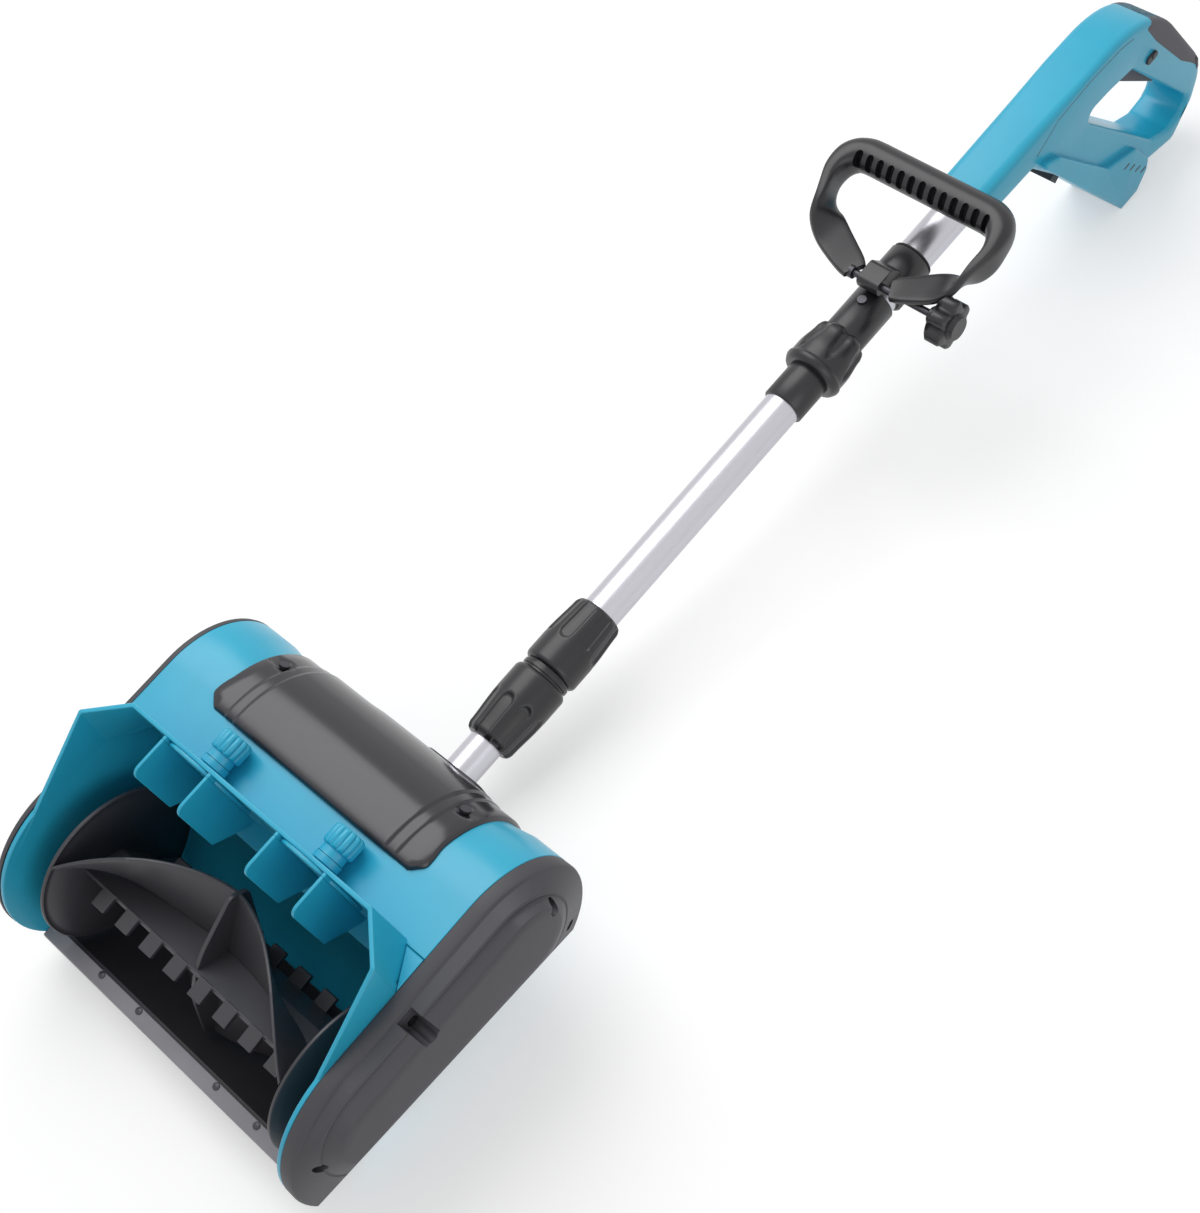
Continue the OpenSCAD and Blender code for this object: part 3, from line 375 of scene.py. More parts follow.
def behind_slant(inset=0):
    """A large block behind the slanting plane, moved in by a margin."""
    form = bmesh.new()
    bmesh.ops.create_cube(form, size=400)
    bmesh.ops.translate(form, verts=form.verts, vec=(200 - inset, 0, 0))
    placed = (Matrix.Translation((head_half, -slant_ahead, rotor_at.y))
              @ Matrix.Rotation(-math.radians(slant_lean), 4, "X")
              @ Matrix.Rotation(math.radians(slant_turn), 4, "Z"))
    bmesh.ops.transform(form, matrix=placed, verts=form.verts)
    return form


casing = bmesh.new()
loft(casing, [at_x(wall_outline(inset), x) for x, inset in (
    (-head_half, 0), (-fender_edge, 0), (-fender_foot, fender_inset),
    (fender_foot, fender_inset), (fender_edge, 0), (head_half, 0))])
plate_view = egg(motor_at, high_r - plate_gap, rotor_at, low_r - plate_gap)
top, foot = front_point(0, front_wall_top), front_point(0, front_wall_foot)
for side in (-1, 1):
    slab(casing, plate_view, side * plate_in, side * plate_out)
    # The fender's front wall runs down behind the hood's slanting corner
    loft(casing, [[Vector((side * front_wall_in, y, front_wall_top)),
                   Vector((side * plate_out, y, front_wall_top)),
                   Vector((side * plate_out, y - shift, front_wall_foot))]
                  for y, shift in ((top.x, top.x - foot.x), (front_wall_back, 0))])
closing = bmesh.new()
slab(closing, plate_view, fender_foot, plate_out)
closing = carve(closing, behind_slant(plate_in - head_half + 8), "INTERSECT")
joined = bpy.data.meshes.new("blank")
closing.to_mesh(joined)
closing.free()
casing.from_mesh(joined)
bpy.data.meshes.remove(joined)
casing = carve(casing, behind_slant())
piece("rotor_casing_shell", casing, teal_abs, "head", ["rotor_casing"], edge=0.8)


# ---- Hood ---------------------------------------------------------------------
# The folded front of the same teal moulding: a flat roof over the deflectors, a
# slanting corner at each end and a cheek down each side of the mouth, 3 mm thick.
hood_front, hood_back = -188, -145
hood_top = 78
roof_front, roof_back = 117, 131
cheek_x = 147.2

hood = bmesh.new()
fold = {}
for side in (-1, 1):
    for label, at in (("roof_front", (roof_front, hood_front, hood_top)),
                      ("roof_back", (roof_back, hood_back, hood_top)),
                      ("corner_front", (cheek_x - 0.8, hood_front, 51)),
                      ("corner_back", (cheek_x, hood_back, 49)),
                      ("cheek_front", (cheek_x - 0.4, -157, -4)),
                      ("cheek_back", (cheek_x, hood_back, -4)),
                      ("foot_front", (cheek_x, -126, -60)),
                      ("foot_back", (cheek_x, -112, -60))):
        fold[side, label] = hood.verts.new((side * at[0], at[1], at[2]))
hood.faces.new([fold[-1, "roof_front"], fold[1, "roof_front"],
                fold[1, "roof_back"], fold[-1, "roof_back"]])
for side in (-1, 1):
    for a, b in (("roof", "corner"), ("corner", "cheek"), ("cheek", "foot")):
        hood.faces.new([fold[side, a + "_front"], fold[side, b + "_front"],
                        fold[side, b + "_back"], fold[side, a + "_back"]])
piece("hood_sheet", hood, teal_abs, "head", ["hood"], edge=0.9, sharp=14, thick=3.2)


# ---- Lower tray ---------------------------------------------------------------
# Black tray that closes the tunnel behind and below the rotor, a push fit between
# the side plates. Moulded ABS with a dull finish.
scraper_y = -40

# Dull black ABS: nearly no highlight, and a 1 mm moulded grain
black_abs = plastic("dull black ABS", "333237", 0.5, 1.0, 0.02)

tray = bmesh.new()
outer_r = low_r - fender_inset
lip_out, lip_in = (-math.acos((scraper_y - rotor_at.x) / radius) for radius in (outer_r, tunnel_r))
slab(tray, bow(rotor_at, outer_r, tray_angle(outer_r), lip_out, 30)
     + bow(rotor_at, tunnel_r, lip_in, tray_angle(tunnel_r), 30), -plate_in, plate_in)
tray = carve(tray, behind_slant(head_half - plate_in))
piece("lower_tray_shell", tray, black_abs, "head", ["lower_tray"], edge=0.6)


# ---- Scraper bar --------------------------------------------------------------
# Replaceable grey wear strip along the tray's front edge, moulded in a hard nylon
# and held by four pan head screws.
scraper_low, scraper_high = -84, -72
scraper_screws = (-84, -42, 42, 84)

# Grey nylon: a dull, slightly mottled mid grey that scuffs a little
scraper_nylon = plastic("grey glass-filled nylon", "8b8990", 0.45, 1.2, 0.03, mottle=0.1)

scraper = bmesh.new()
slab(scraper, [(scraper_y - 4, scraper_high), (scraper_y, scraper_high), (scraper_y, scraper_low),
               (scraper_y - 4, scraper_low + 1)], -plate_in, plate_in)
piece("scraper_strip", scraper, scraper_nylon, "head", ["scraper_bar"], edge=0.8)


def metal(name, colour, roughness, streak, scratch_mm=0.004):
    """A bare metal with streaks along its object axis and fine scratches."""
    material = blank(name)
    place = shade(material, "TexCoord")
    stretched = shade(material, "Mapping", {"Vector": place.outputs["Object"], "Scale": streak})
    lines = shade(material, "TexNoise", {"Vector": stretched.outputs[0], "Scale": 1.0, "Detail": 3.0})
    gloss = shade(material, "MapRange", {"Value": lines.outputs["Fac"], "To Min": roughness - 0.06,
                                         "To Max": roughness + 0.06})
    tint = shade(material, "ValToRGB", {"Fac": lines.outputs["Fac"]})
    base = linear(colour)
    for stop, factor in ((0, 0.94), (1, 1.04)):
        tint.color_ramp.elements[stop].color = [min(1, c * factor) for c in base[:3]] + [1]
    bump = shade(material, "Bump", {"Height": lines.outputs["Fac"], "Distance": scratch_mm / 1000})
    shell = shade(material, "BsdfPrincipled", {"Base Color": tint.outputs[0], "Metallic": 1.0,
                                               "Roughness": gloss.outputs[0], "Normal": bump.outputs[0]})
    shade(material, "OutputMaterial", {"Surface": shell.outputs[0]})
    return material


def turned(form, stops, place=Matrix(), around=64, groove=None):
    """Turn a profile of (height, radius) stops about the local Z axis."""
    rings = []
    for height, radius in stops:
        ring = []
        for k in range(around):
            angle = 2 * math.pi * k / around
            r = radius - (groove(angle, height) if groove else 0)
            ring.append(place @ Vector((r * math.cos(angle), r * math.sin(angle), height)))
        rings.append(ring)
    loft(form, rings)


# Blackened steel: dark grey screw heads with a dull sheen
black_steel = metal("blackened steel", "4c4b50", 0.42, (2000, 2000, 2000))
screw_z = scraper_high - 3
heads = bmesh.new()
for x in scraper_screws:
    turned(heads, [(0, 1.6), (4, 1.6), (4, 2.7), (4.6, 2.7), (5.1, 1.9)],
           Matrix.Translation((x, scraper_y, screw_z)) @ Matrix.Rotation(math.radians(90), 4, "X"), 20)
piece("scraper_screw_heads", heads, black_steel, "head", ["scraper_screws"], sharp=50)


# ---- Motor cover --------------------------------------------------------------
# Gloss black hood over the motor, a curved panel with a stepped band at each end and
# a ridge that climbs to the pole socket. Moulded ABS, held by two sunk screws.
cover_half = 104
cover_steps = 92
cover_wall = 6
cover_from, cover_to = 185, 28
band_out, band_in = 84, 75

# Polished black ABS: a hard highlight over a dark grey body
gloss_abs = plastic("polished black ABS", "2b2a2f", 0.2, 1.5, 0.004)


def smooth(low, high, value):
    """A soft step from 0 at low to 1 at high."""
    share = min(1, max(0, (value - low) / (high - low)))
    return share * share * (3 - 2 * share)


def cover_width(angle):
    """Half width of the motor cover: its two front corners are cut off."""
    shoulder = 2 * smooth(160, 174, angle) * (1 - smooth(176, 184, angle))
    return cover_half - 6 * smooth(176, 186, angle) + shoulder


def cover_height(x, angle, width):
    """Radius of the motor cover's face."""
    off = abs(x)
    height = high_r - 2.4 * (1 - smooth(0, 2.2, width - off))
    height -= 2.2 * smooth(183.2, 185, angle) + 2.0 * (1 - smooth(28, 32, angle))
    height += 0.9 * (1 - smooth(band_out - 0.7, band_out + 0.7, off))
    height += 1.1 * (1 - smooth(band_in - 0.7, band_in + 0.7, off))
    ridge = 18 + 0.55 * max(0, 112 - angle)
    height += 2.5 * smooth(0, 55, 118 - angle) * (1 - smooth(ridge, ridge + 16, off))
    pit = math.hypot(off - 90, (angle - 134) * 1.13)
    return height - 2.6 * (1 - smooth(5, 7.5, pit))


def round_motor(x, angle, radius):
    """The point at an angle and radius about the motor's axis."""
    return Vector((x, motor_at.x + radius * math.cos(angle), motor_at.y + radius * math.sin(angle)))


columns = sorted({s * v for s in (-1, 1) for v in (
    0, 8, 14, 20, 26, 32, 38, 44, 50, 56, 62, 68, 73, 74.3, 75, 75.7, 77, 79, 82, 83.3, 84, 84.7, 86,
    88, 90, 92, 94, 96, 98, 100)})
cover = bmesh.new()
grid = []
for k in range(cover_steps + 1):
    angle = cover_from + (cover_to - cover_from) * k / cover_steps
    width = cover_width(angle)
    spread = [-width, -width + 0.8, -width + 1.6, -width + 2.4]
    inside = [c for c in columns if abs(c) < width - 2.6]
    grid.append([(x, angle, cover_height(x, angle, width))
                 for x in spread + inside + [-v for v in reversed(spread)]])
fewest = min(len(row) for row in grid)
for row in grid:
    while len(row) > fewest:
        row.pop(4)
        row.pop(-5)
rings = []
for row in grid:
    angle = math.radians(row[0][1])
    rings.append([round_motor(x, angle, r) for x, _, r in row]
                 + [round_motor(x, angle, high_r - cover_wall) for x, _, _ in reversed(row)])
loft(cover, rings)
piece("motor_cover_panel", cover, gloss_abs, "head", ["motor_cover"], sharp=50)
dress(["motor_cover_screws"], black_steel)


# ---- Pole socket --------------------------------------------------------------
# Black moulded collar that grows out of the motor cover and grips the lower tube,
# with a flat flange at its mouth and one bolt through it.
def oblong(a0, a1, b0, b1, radius):
    """A rectangle with rounded corners."""
    return rounded([(a0, b0, radius), (a1, b0, radius), (a1, b1, radius), (a0, b1, radius)])


def plate_ring(half_x, front, back, radius, z):
    """A rounded rectangle across the pole at height z."""
    return [Vector((p[0], p[1], z)) for p in oblong(-half_x, half_x, front, back, radius)]


socket = bmesh.new()
loft(socket, [plate_ring(*size) for size in (
    (62, -84, 16, 16, 150), (48, -72, 19, 14, 166), (34, -54, 21, 11, 178), (25.5, -34, 20, 8, 185),
    (24, -20, 19, 7, 187.5))])
loft(socket, [plate_ring(*size) for size in (
    (27, -15.5, 21.5, 7, 187), (28, -16, 22, 7, 188), (28, -16, 22, 7, 195), (27, -15, 21, 7, 196))])
slab(socket, rounded([(-60, 150, 0), (-50, 186, 4), (20, 187, 4), (24, 130, 8), (20, 70, 6),
                      (-20, 80, 0)]), -24, 24)
piece("pole_socket_collar", socket, black_abs, "head", ["pole_socket"], edge=1.0)
dress(["socket_bolt"], black_steel)


# ---- Side covers --------------------------------------------------------------
# Textured black polypropylene. The left one is a thin dished lid. The belt cover is a
# deep shell with a raised oval in the middle. Six sunk screws hold each one.
screw_spots = ((-116, 152), (-134, 43), (-112, -60), (-56, -66), (-48, 40), (-50, 156))
screw_hole_r = 4
left_side = 153
belt_side = 180

# Spark textured polypropylene: dull dark grey, with a grain 0.5 mm wide drawn at 0.9 mm
grained_pp = plastic("spark textured black polypropylene", "3f3e43", 0.55, 0.9, 0.05)



def rod_x(form, spot, radius, x0, x1, around=24):
    """A round bar across the thrower."""
    loft(form, [[Vector((x, spot[0] + radius * math.cos(2 * math.pi * k / around),
                         spot[1] + radius * math.sin(2 * math.pi * k / around))) for k in range(around)]
                for x in (x0, x1)])


lid = bmesh.new()
loft(lid, [at_x(egg(motor_at, high_r - inset, rotor_at, low_r - inset), -x) for x, inset in (
    (head_half + 0.2, 0.2), (150.5, 0), (152, 0.6), (left_side, 2.2), (left_side, 9),
    (left_side - 1, 11), (left_side - 1, 30))])
pits = bmesh.new()
for spot in screw_spots:
    rod_x(pits, spot, screw_hole_r, -left_side - 1, -left_side + 2)
lid = carve(lid, pits)
piece("left_side_lid", lid, grained_pp, "head", ["left_side_cover"], sharp=28)

oval_top, oval_low = Vector((-108, 124)), Vector((-108, -18))
shell_top, shell_low = Vector((-98, 118)), Vector((-100, -14))
belt = bmesh.new()
levels = [(head_half + 0.2, motor_at, high_r - 0.2, rotor_at, low_r - 0.2),
          (156, motor_at, high_r, rotor_at, low_r),
          (158, motor_at, high_r - 0.8, rotor_at, low_r - 0.8),
          (159.5, motor_at, high_r - 2.4, rotor_at, low_r - 2.4),
          (169.5, shell_top, 46.5, shell_low, 48.5),
          (170.6, shell_top, 45, shell_low, 47),
          (170.2, shell_top, 43.5, shell_low, 45.5),
          (171.5, shell_top, 42.5, shell_low, 44.5),
          (178.6, oval_top, 30, oval_low, 30),
          (179.6, oval_top, 28, oval_low, 28),
          (belt_side, oval_top, 22, oval_low, 22)]
loft(belt, [at_x(egg(c1, r1, c2, r2), x) for x, c1, r1, c2, r2 in levels])
screw_seats = (160, 160, 160, 153, 153, 153)
trough_turn, trough_half = math.radians(185), 6.5
trough_start, trough_end = -2, 50
floor_in, floor_out = 163, 157
above = belt_side + 4
troughs = bmesh.new()
for spot, seat in zip(screw_spots, screw_seats):
    rod_x(troughs, spot, screw_hole_r + 0.4, seat, above)
away = Vector((math.cos(trough_turn), math.sin(trough_turn)))
beside = Vector((-away.y, away.x)) * trough_half
start, end = (Vector(screw_spots[1]) + away * reach for reach in (trough_start, trough_end))
low = [Vector((floor_in, *(start - beside))), Vector((floor_in, *(start + beside))),
       Vector((floor_out, *(end + beside))), Vector((floor_out, *(end - beside)))]
loft(troughs, [low, [Vector((above, p.y, p.z)) for p in low]])
belt = carve(belt, troughs)
belt = carve(belt, behind_slant())
piece("belt_cover_shell", belt, grained_pp, "head", ["belt_cover"], sharp=24)
dress(["side_cover_screws"], black_steel)


# ---- Motor and belt drive -----------------------------------------------------
# Steel motor can and shaft, a flanged drive pulley, and a flat rubber belt down to the
# rotor's pulley. All of it sits inside the casing and the belt cover.
# Zinc plated steel: grey, softly bright, with 0.5 mm turning marks
zinc_steel = metal("zinc plated steel", "a4a6aa", 0.32, (2000, 2000, 2000))
# Nitrile rubber belt: flat black with a faint woven tooth side
belt_rubber = plastic("black nitrile rubber", "1c1c1e", 0.75, 0.6, 0.05)
dress(["motor_can", "motor_shaft", "motor_pulley", "left_bearing", "right_bearing"], zinc_steel)
dress(["drive_belt"], belt_rubber)
dress(["rotor_pulley"], black_abs)
dress(["rotor_shaft"], zinc_steel)


# ---- Rotor --------------------------------------------------------------------
# Two-blade rotor of tough black polypropylene: a toothed bar between two end discs,
# a twisted blade on each long side and an oval fin in the middle, all one moulding.
rotor_r = 63
disc_in, disc_t = 118, 3.5
tip_angle, blade_turn = 140, 68
blade_in, blade_in_end = 13.6, 32.5

# Impact grade polypropylene: dark, satin, with pale knocked edges
rotor_pp = plastic("impact grade black polypropylene", "3a393e", 0.4, 1.2, 0.03, edge_mm=0.8)


def rotor_piece(name, form, node, edge=0.0, sharp=32):
    """A piece of the rotor."""
    bmesh.ops.translate(form, verts=form.verts, vec=(0, rotor_at.x, rotor_at.y))
    piece(name, form, rotor_pp, "rotor", [node], edge=edge, sharp=sharp)


for side, name in ((-1, "left_end_disc"), (1, "right_end_disc")):
    disc = bmesh.new()
    rings = []
    for x, radius in ((0, 18), (0, rotor_r - 6), (0.7, rotor_r - 5), (0.7, rotor_r - 2),
                      (0.2, rotor_r - 0.9), (1, rotor_r), (disc_t - 0.8, rotor_r),
                      (disc_t, rotor_r - 1), (disc_t, 16)):
        rings.append([Vector((side * (disc_in + x), radius * math.cos(math.radians(3 * k)),
                              radius * math.sin(math.radians(3 * k)))) for k in range(120)])
    loft(disc, rings)
    rotor_piece(name + "_round", disc, name, sharp=40)

bar_reach = 30
teeth, tooth_pitch, tooth_half = 8, 26, 6.5
bar_view = [(-bar_reach + 5, -17), (-bar_reach + 9, -19), (10, -9), (bar_reach - 5, 17),
            (bar_reach - 9, 19), (-10, 9)]
bar = bmesh.new()
slab(bar, bar_view, -disc_in, disc_in)
for flip in (1, -1):
    for i in range(teeth):
        x = (i - (teeth - 1) / 2) * tooth_pitch
        slab(bar, [(flip * a, flip * b) for a, b in (
            (-bar_reach + 5, -16), (-bar_reach + 9.5, -17), (-bar_reach + 10, -30),
            (-bar_reach + 6.5, -31))], x - tooth_half, x + tooth_half)
rotor_piece("toothed_bar", bar, "rotor_core", edge=0.7)

fin_half_t = 1.75
fin = bmesh.new()
lean = math.radians(tip_angle)
fin_outline = rounded([(rotor_r, -8, 7), (rotor_r, 8, 7), (0, 34, 80), (-rotor_r, 8, 7),
                       (-rotor_r, -8, 7), (0, -34, 80)], 12)
slab(fin, [(a * math.cos(lean) - b * math.sin(lean), a * math.sin(lean) + b * math.cos(lean))
           for a, b in fin_outline], -fin_half_t, fin_half_t)
rotor_piece("oval_fin", fin, "middle_fin", edge=0.6)

blade_steps = 96
for flip, name in ((0, "front_blade"), (math.pi, "rear_blade")):
    blade = bmesh.new()
    rings = []
    for k in range(blade_steps + 1):
        x = -disc_in + 2 * disc_in * k / blade_steps
        part = (abs(x) / disc_in) ** 1.6
        angle = math.radians(tip_angle + blade_turn * part) + flip
        root = blade_in + (blade_in_end - blade_in) * part ** 2.8
        ring = []
        for r, h in ((root, -1.5), (rotor_r - 8, -1.2), (rotor_r - 1.6, -1.5), (rotor_r - 0.4, -1.2),
                     (rotor_r, 0), (rotor_r - 0.4, 1.2), (rotor_r - 1.6, 1.5), (rotor_r - 8, 1.2),
                     (root, 1.5)):
            ring.append(Vector((x, r * math.cos(angle) - h * math.sin(angle),
                                r * math.sin(angle) + h * math.cos(angle))))
        rings.append(ring)
    loft(blade, rings)
    rotor_piece(name + "_sheet", blade, name, sharp=45)


# ---- Snow deflectors ----------------------------------------------------------
# Two turntables under the hood, each with a pair of teal vanes that steer the snow.
# A ribbed knob on the stem above the hood turns each pair. Moulded ABS, one screw each.
deflector_x, deflector_y = 56, -158
vane_gap, vane_t, vane_low = 45, 2.5, 42
turntable_r = 33
plate_low, plate_high = 71.7, 74.7
vane_front, vane_back = -32, 34
ribs = 14
stem_r, boss_r = 7.5, 10.4
knob_low, knob_high, knob_r = 90, 106, 12


for side, name in ((-1, "left"), (1, "right")):
    body = name + "_deflector_unit"
    stand = Matrix.Translation((side * deflector_x, deflector_y, 0))
    vanes = bmesh.new()
    turned(vanes, [(plate_low, turntable_r - 0.6), (plate_low + 0.6, turntable_r),
                   (plate_high - 0.6, turntable_r), (plate_high, turntable_r - 0.6)], stand)
    turned(vanes, [(74, stem_r), (78.7, stem_r), (79, boss_r), (84, boss_r), (84.6, boss_r - 0.8),
                   (knob_low + 0.5, boss_r - 0.8)], stand, 48)
    for k in (-1, 1):
        x = side * deflector_x + k * vane_gap / 2
        outline = rounded([(vane_front, plate_low + 0.1, 0), (vane_front, vane_low, 7),
                           (26, vane_low, 2), (44, vane_low + 23, 2), (47, plate_low + 0.1, 0)])
        slab(vanes, [(a + deflector_y, b) for a, b in outline], x - vane_t / 2, x + vane_t / 2)
        slab(vanes, [(deflector_y + vane_front, plate_low), (deflector_y + vane_back, plate_low),
                     (deflector_y + vane_back, plate_high), (deflector_y + vane_front, plate_high)],
             x - vane_t / 2, x + vane_t / 2)
    piece(name + "_vanes", vanes, teal_abs, body, [name + "_deflector"], edge=0.6)

    knob = bmesh.new()
    turned(knob, [(knob_low, knob_r - 3), (knob_low + 0.6, knob_r - 1), (knob_low + 2, knob_r),
                  (knob_high - 2.5, knob_r), (knob_high - 0.8, knob_r - 1), (knob_high, knob_r - 2.5),
                  (knob_high, 5.2), (knob_high - 3, 4.6)],
           stand, ribs * 12,
           lambda angle, height: 1.5 * (1 - abs(math.cos(angle * ribs / 2)) ** 0.6)
           if knob_low + 1 < height < knob_high - 0.5 else 0)
    piece(name + "_ribbed_knob", knob, teal_abs, body, [name + "_deflector_knob"], sharp=60)
    dress(["deflector_screws_" + name], black_steel)


# ---- Pole tubes ---------------------------------------------------------------
# Three drawn aluminium tubes, satin anodised. The thin lower tube slides inside the
# middle one, and the upper one carries both handles.
lower_r, tube_r = 13.5, 15
bore_r = 13.7

# Satin anodised aluminium: nearly white, with drawing lines 0.4 mm apart along it
anodised = metal("satin anodised aluminium", "c4c3ca", 0.3, (900, 30, 900))


def pipe(form, outer, inner, z0, z1, around=96):
    """A tube along the pole."""
    stops = [(z0, outer), (z1, outer), (z1, inner), (z0, inner)]
    rings = [[Vector((r * math.cos(2 * math.pi * k / around), r * math.sin(2 * math.pi * k / around), z))
              for k in range(around)] for z, r in stops]
    rows = [[form.verts.new(p) for p in ring] for ring in rings]
    for a, b in zip(rows, rows[1:] + rows[:1]):
        for i in range(around):
            k = (i + 1) % around
            form.faces.new((a[i], a[k], b[k], b[i]))


for name, body, outer, inner, z0, z1 in (
        ("lower_tube", "head", lower_r, 12.2, 100, 532),
        ("middle_tube", "pole", tube_r, bore_r, 343, 620),
        ("upper_tube", "pole", tube_r, bore_r, 620, 856)):
    tube = bmesh.new()
    pipe(tube, outer, inner, z0, z1)
    piece(name + "_drawn", tube, anodised, body, [name], sharp=40)


# ---- Telescope lock -----------------------------------------------------------
# A threaded body glued round the middle tube, with a grip nut screwed on from each
# side. Each nut has a plain collar and eight finger panels. Charcoal glass-filled nylon.
nut_r = 22.5
# Glass-filled nylon: dull charcoal with a fine fibrous grain
charcoal_nylon = plastic("charcoal glass-filled nylon", "1d1c20", 0.33, 1.0, 0.03)
dress(["lock_coupler"], charcoal_nylon)


def panels(angle, share, count=8, depth=1.7, half=0.24, start=0.40):
    """Depth of the finger panels: sunk fields with a rounded start."""
    off = abs((angle * count / (2 * math.pi) + 0.5) % 1 - 0.5) * 2 * math.pi / count
    inside = 1 - smooth(half - 0.035, half + 0.035, off)
    lead = share - start - 0.09 * (1 - math.sqrt(max(0, 1 - (off / half) ** 2)) if off < half else 1)
    return depth * inside * smooth(0, 0.03, lead)


for name, body, z0, z1, mouth_r in (("lower_lock_nut", "lower_nut", 287, 225, 14),
                                    ("upper_lock_nut", "upper_nut", 294, 353, 16)):
    span = z1 - z0
    stops = [(z0, nut_r - 5), (z0 + span * 0.004, nut_r - 2), (z0 + span * 0.03, nut_r - 0.6),
             (z0 + span * 0.06, nut_r)]
    for k in range(41):
        share = 0.08 + 0.84 * k / 40
        taper = 0.2 * smooth(0.36, 0.42, share) + 2.2 * smooth(0.4, 1.0, share)
        stops.append((z0 + span * share, nut_r - taper))
    stops += [(z0 + span * 0.95, nut_r - 2.8), (z0 + span * 0.985, nut_r - 4), (z1, nut_r - 5.6),
              (z1, mouth_r)]
    nut = bmesh.new()
    turned(nut, stops, around=192, groove=lambda angle, z: panels(angle, (z - z0) / span)
           if 0.08 < (z - z0) / span < 0.985 else 0)
    piece(name + "_grip", nut, charcoal_nylon, body, [name], sharp=50)


# ---- Pole coupling ------------------------------------------------------------
# Two sleeves join the middle and upper tubes, and a turning nut pulls them together.
# The nut has a raised ring at one end and almond finger hollows. Glass-filled nylon.
sleeve_r = 17.25
coupling_r = 24.75
coupling_low, coupling_high = 600, 643


def almonds(angle, z, count=6):
    """Depth of the almond hollows round the coupling nut."""
    share = (z - coupling_low - 9) / (coupling_high - coupling_low - 9)
    if not 0 < share < 1.05:
        return 0
    off = abs((angle * count / (2 * math.pi) + 0.5) % 1 - 0.5) * 2 * math.pi / count
    half = 0.34 * math.sin(math.pi * min(1, share) * 0.55 + 0.12)
    return 2.6 * (1 - smooth(0.25 * half, half, off)) * smooth(0, 0.25, share)


for name, z0, z1 in (("lower_sleeve", 568, 620), ("upper_sleeve", 620, 683)):
    sleeve = bmesh.new()
    turned(sleeve, [(z0, tube_r + 0.1), (z0, sleeve_r - 0.8), (z0 + 0.8, sleeve_r),
                    (z1 - 0.8, sleeve_r), (z1, sleeve_r - 0.8), (z1, tube_r + 0.1)], around=96)
    piece(name + "_turned", sleeve, charcoal_nylon, "pole", [name], sharp=50)

stops = [(coupling_low, 18), (coupling_low, coupling_r - 3), (coupling_low + 1, coupling_r - 1.6),
         (coupling_low + 2.6, coupling_r - 0.6), (coupling_low + 4.6, coupling_r + 0.4),
         (coupling_low + 6.8, coupling_r + 0.4), (coupling_low + 7.6, coupling_r - 0.4)]
stops += [(coupling_low + 8.6 + 28 * k / 24, coupling_r - 0.6 - 2.4 * smooth(0.3, 1, k / 24))
          for k in range(25)]
stops += [(coupling_high - 3, coupling_r - 4), (coupling_high - 1, coupling_r - 5.2),
          (coupling_high, coupling_r - 7), (coupling_high, 18)]
nut = bmesh.new()
turned(nut, stops, around=180, groove=almonds)
piece("coupling_nut_grip", nut, charcoal_nylon, "coupling", ["coupling_nut"], sharp=50)
dress(["sleeve_screw"], black_steel)


# ---- Handle clamp -------------------------------------------------------------
# A soft liner and a moulded ring that slide on the upper tube. The ring has a lug in
# front for the handle's bolt.
clamp_low, clamp_high, clamp_r = 691, 728, 18.5
bolt_y, bolt_z = -24, 684
ring = bmesh.new()
turned(ring, [(clamp_low, 16.6), (clamp_low, clamp_r - 0.7), (clamp_low + 0.7, clamp_r),
              (clamp_high - 1.2, clamp_r), (clamp_high, clamp_r - 1.2), (clamp_high, 16.6)], around=96)
slab(ring, rounded([(bolt_y - 7, bolt_z - 7, 5), (bolt_y + 6, bolt_z - 7, 5), (-17.4, clamp_low, 0),
                    (-17.4, clamp_low + 16, 0), (bolt_y - 7, clamp_low + 6, 5)]), -10, 10)
piece("clamp_ring_moulded", ring, charcoal_nylon, "front_clamp", ["clamp_ring"],
      edge=0.5, sharp=50)
dress(["clamp_liner"], belt_rubber)


# ---- Front handle -------------------------------------------------------------
# D handle of charcoal nylon, one moulding: two flat arms sweep from the bolt to rounded
# shoulders, and a round bar between them has a row of slots on its inner side.
bar_y, bar_z, bar_r = -54, 762, 14
slot_count, slot_pitch, slot_lean = 13, 10, -33


def section(centre, along, flat, half_a, half_b, power, around=40):
    """A superellipse ring: half_a along the flat direction, half_b across it."""
    side_axis = along.cross(flat).normalized()
    points = []
    for k in range(around):
        angle = 2 * math.pi * k / around
        c, s = math.cos(angle), math.sin(angle)
        points.append(centre + flat * half_a * math.copysign(abs(c) ** (2 / power), c)
                      + side_axis * half_b * math.copysign(abs(s) ** (2 / power), s))
    return points


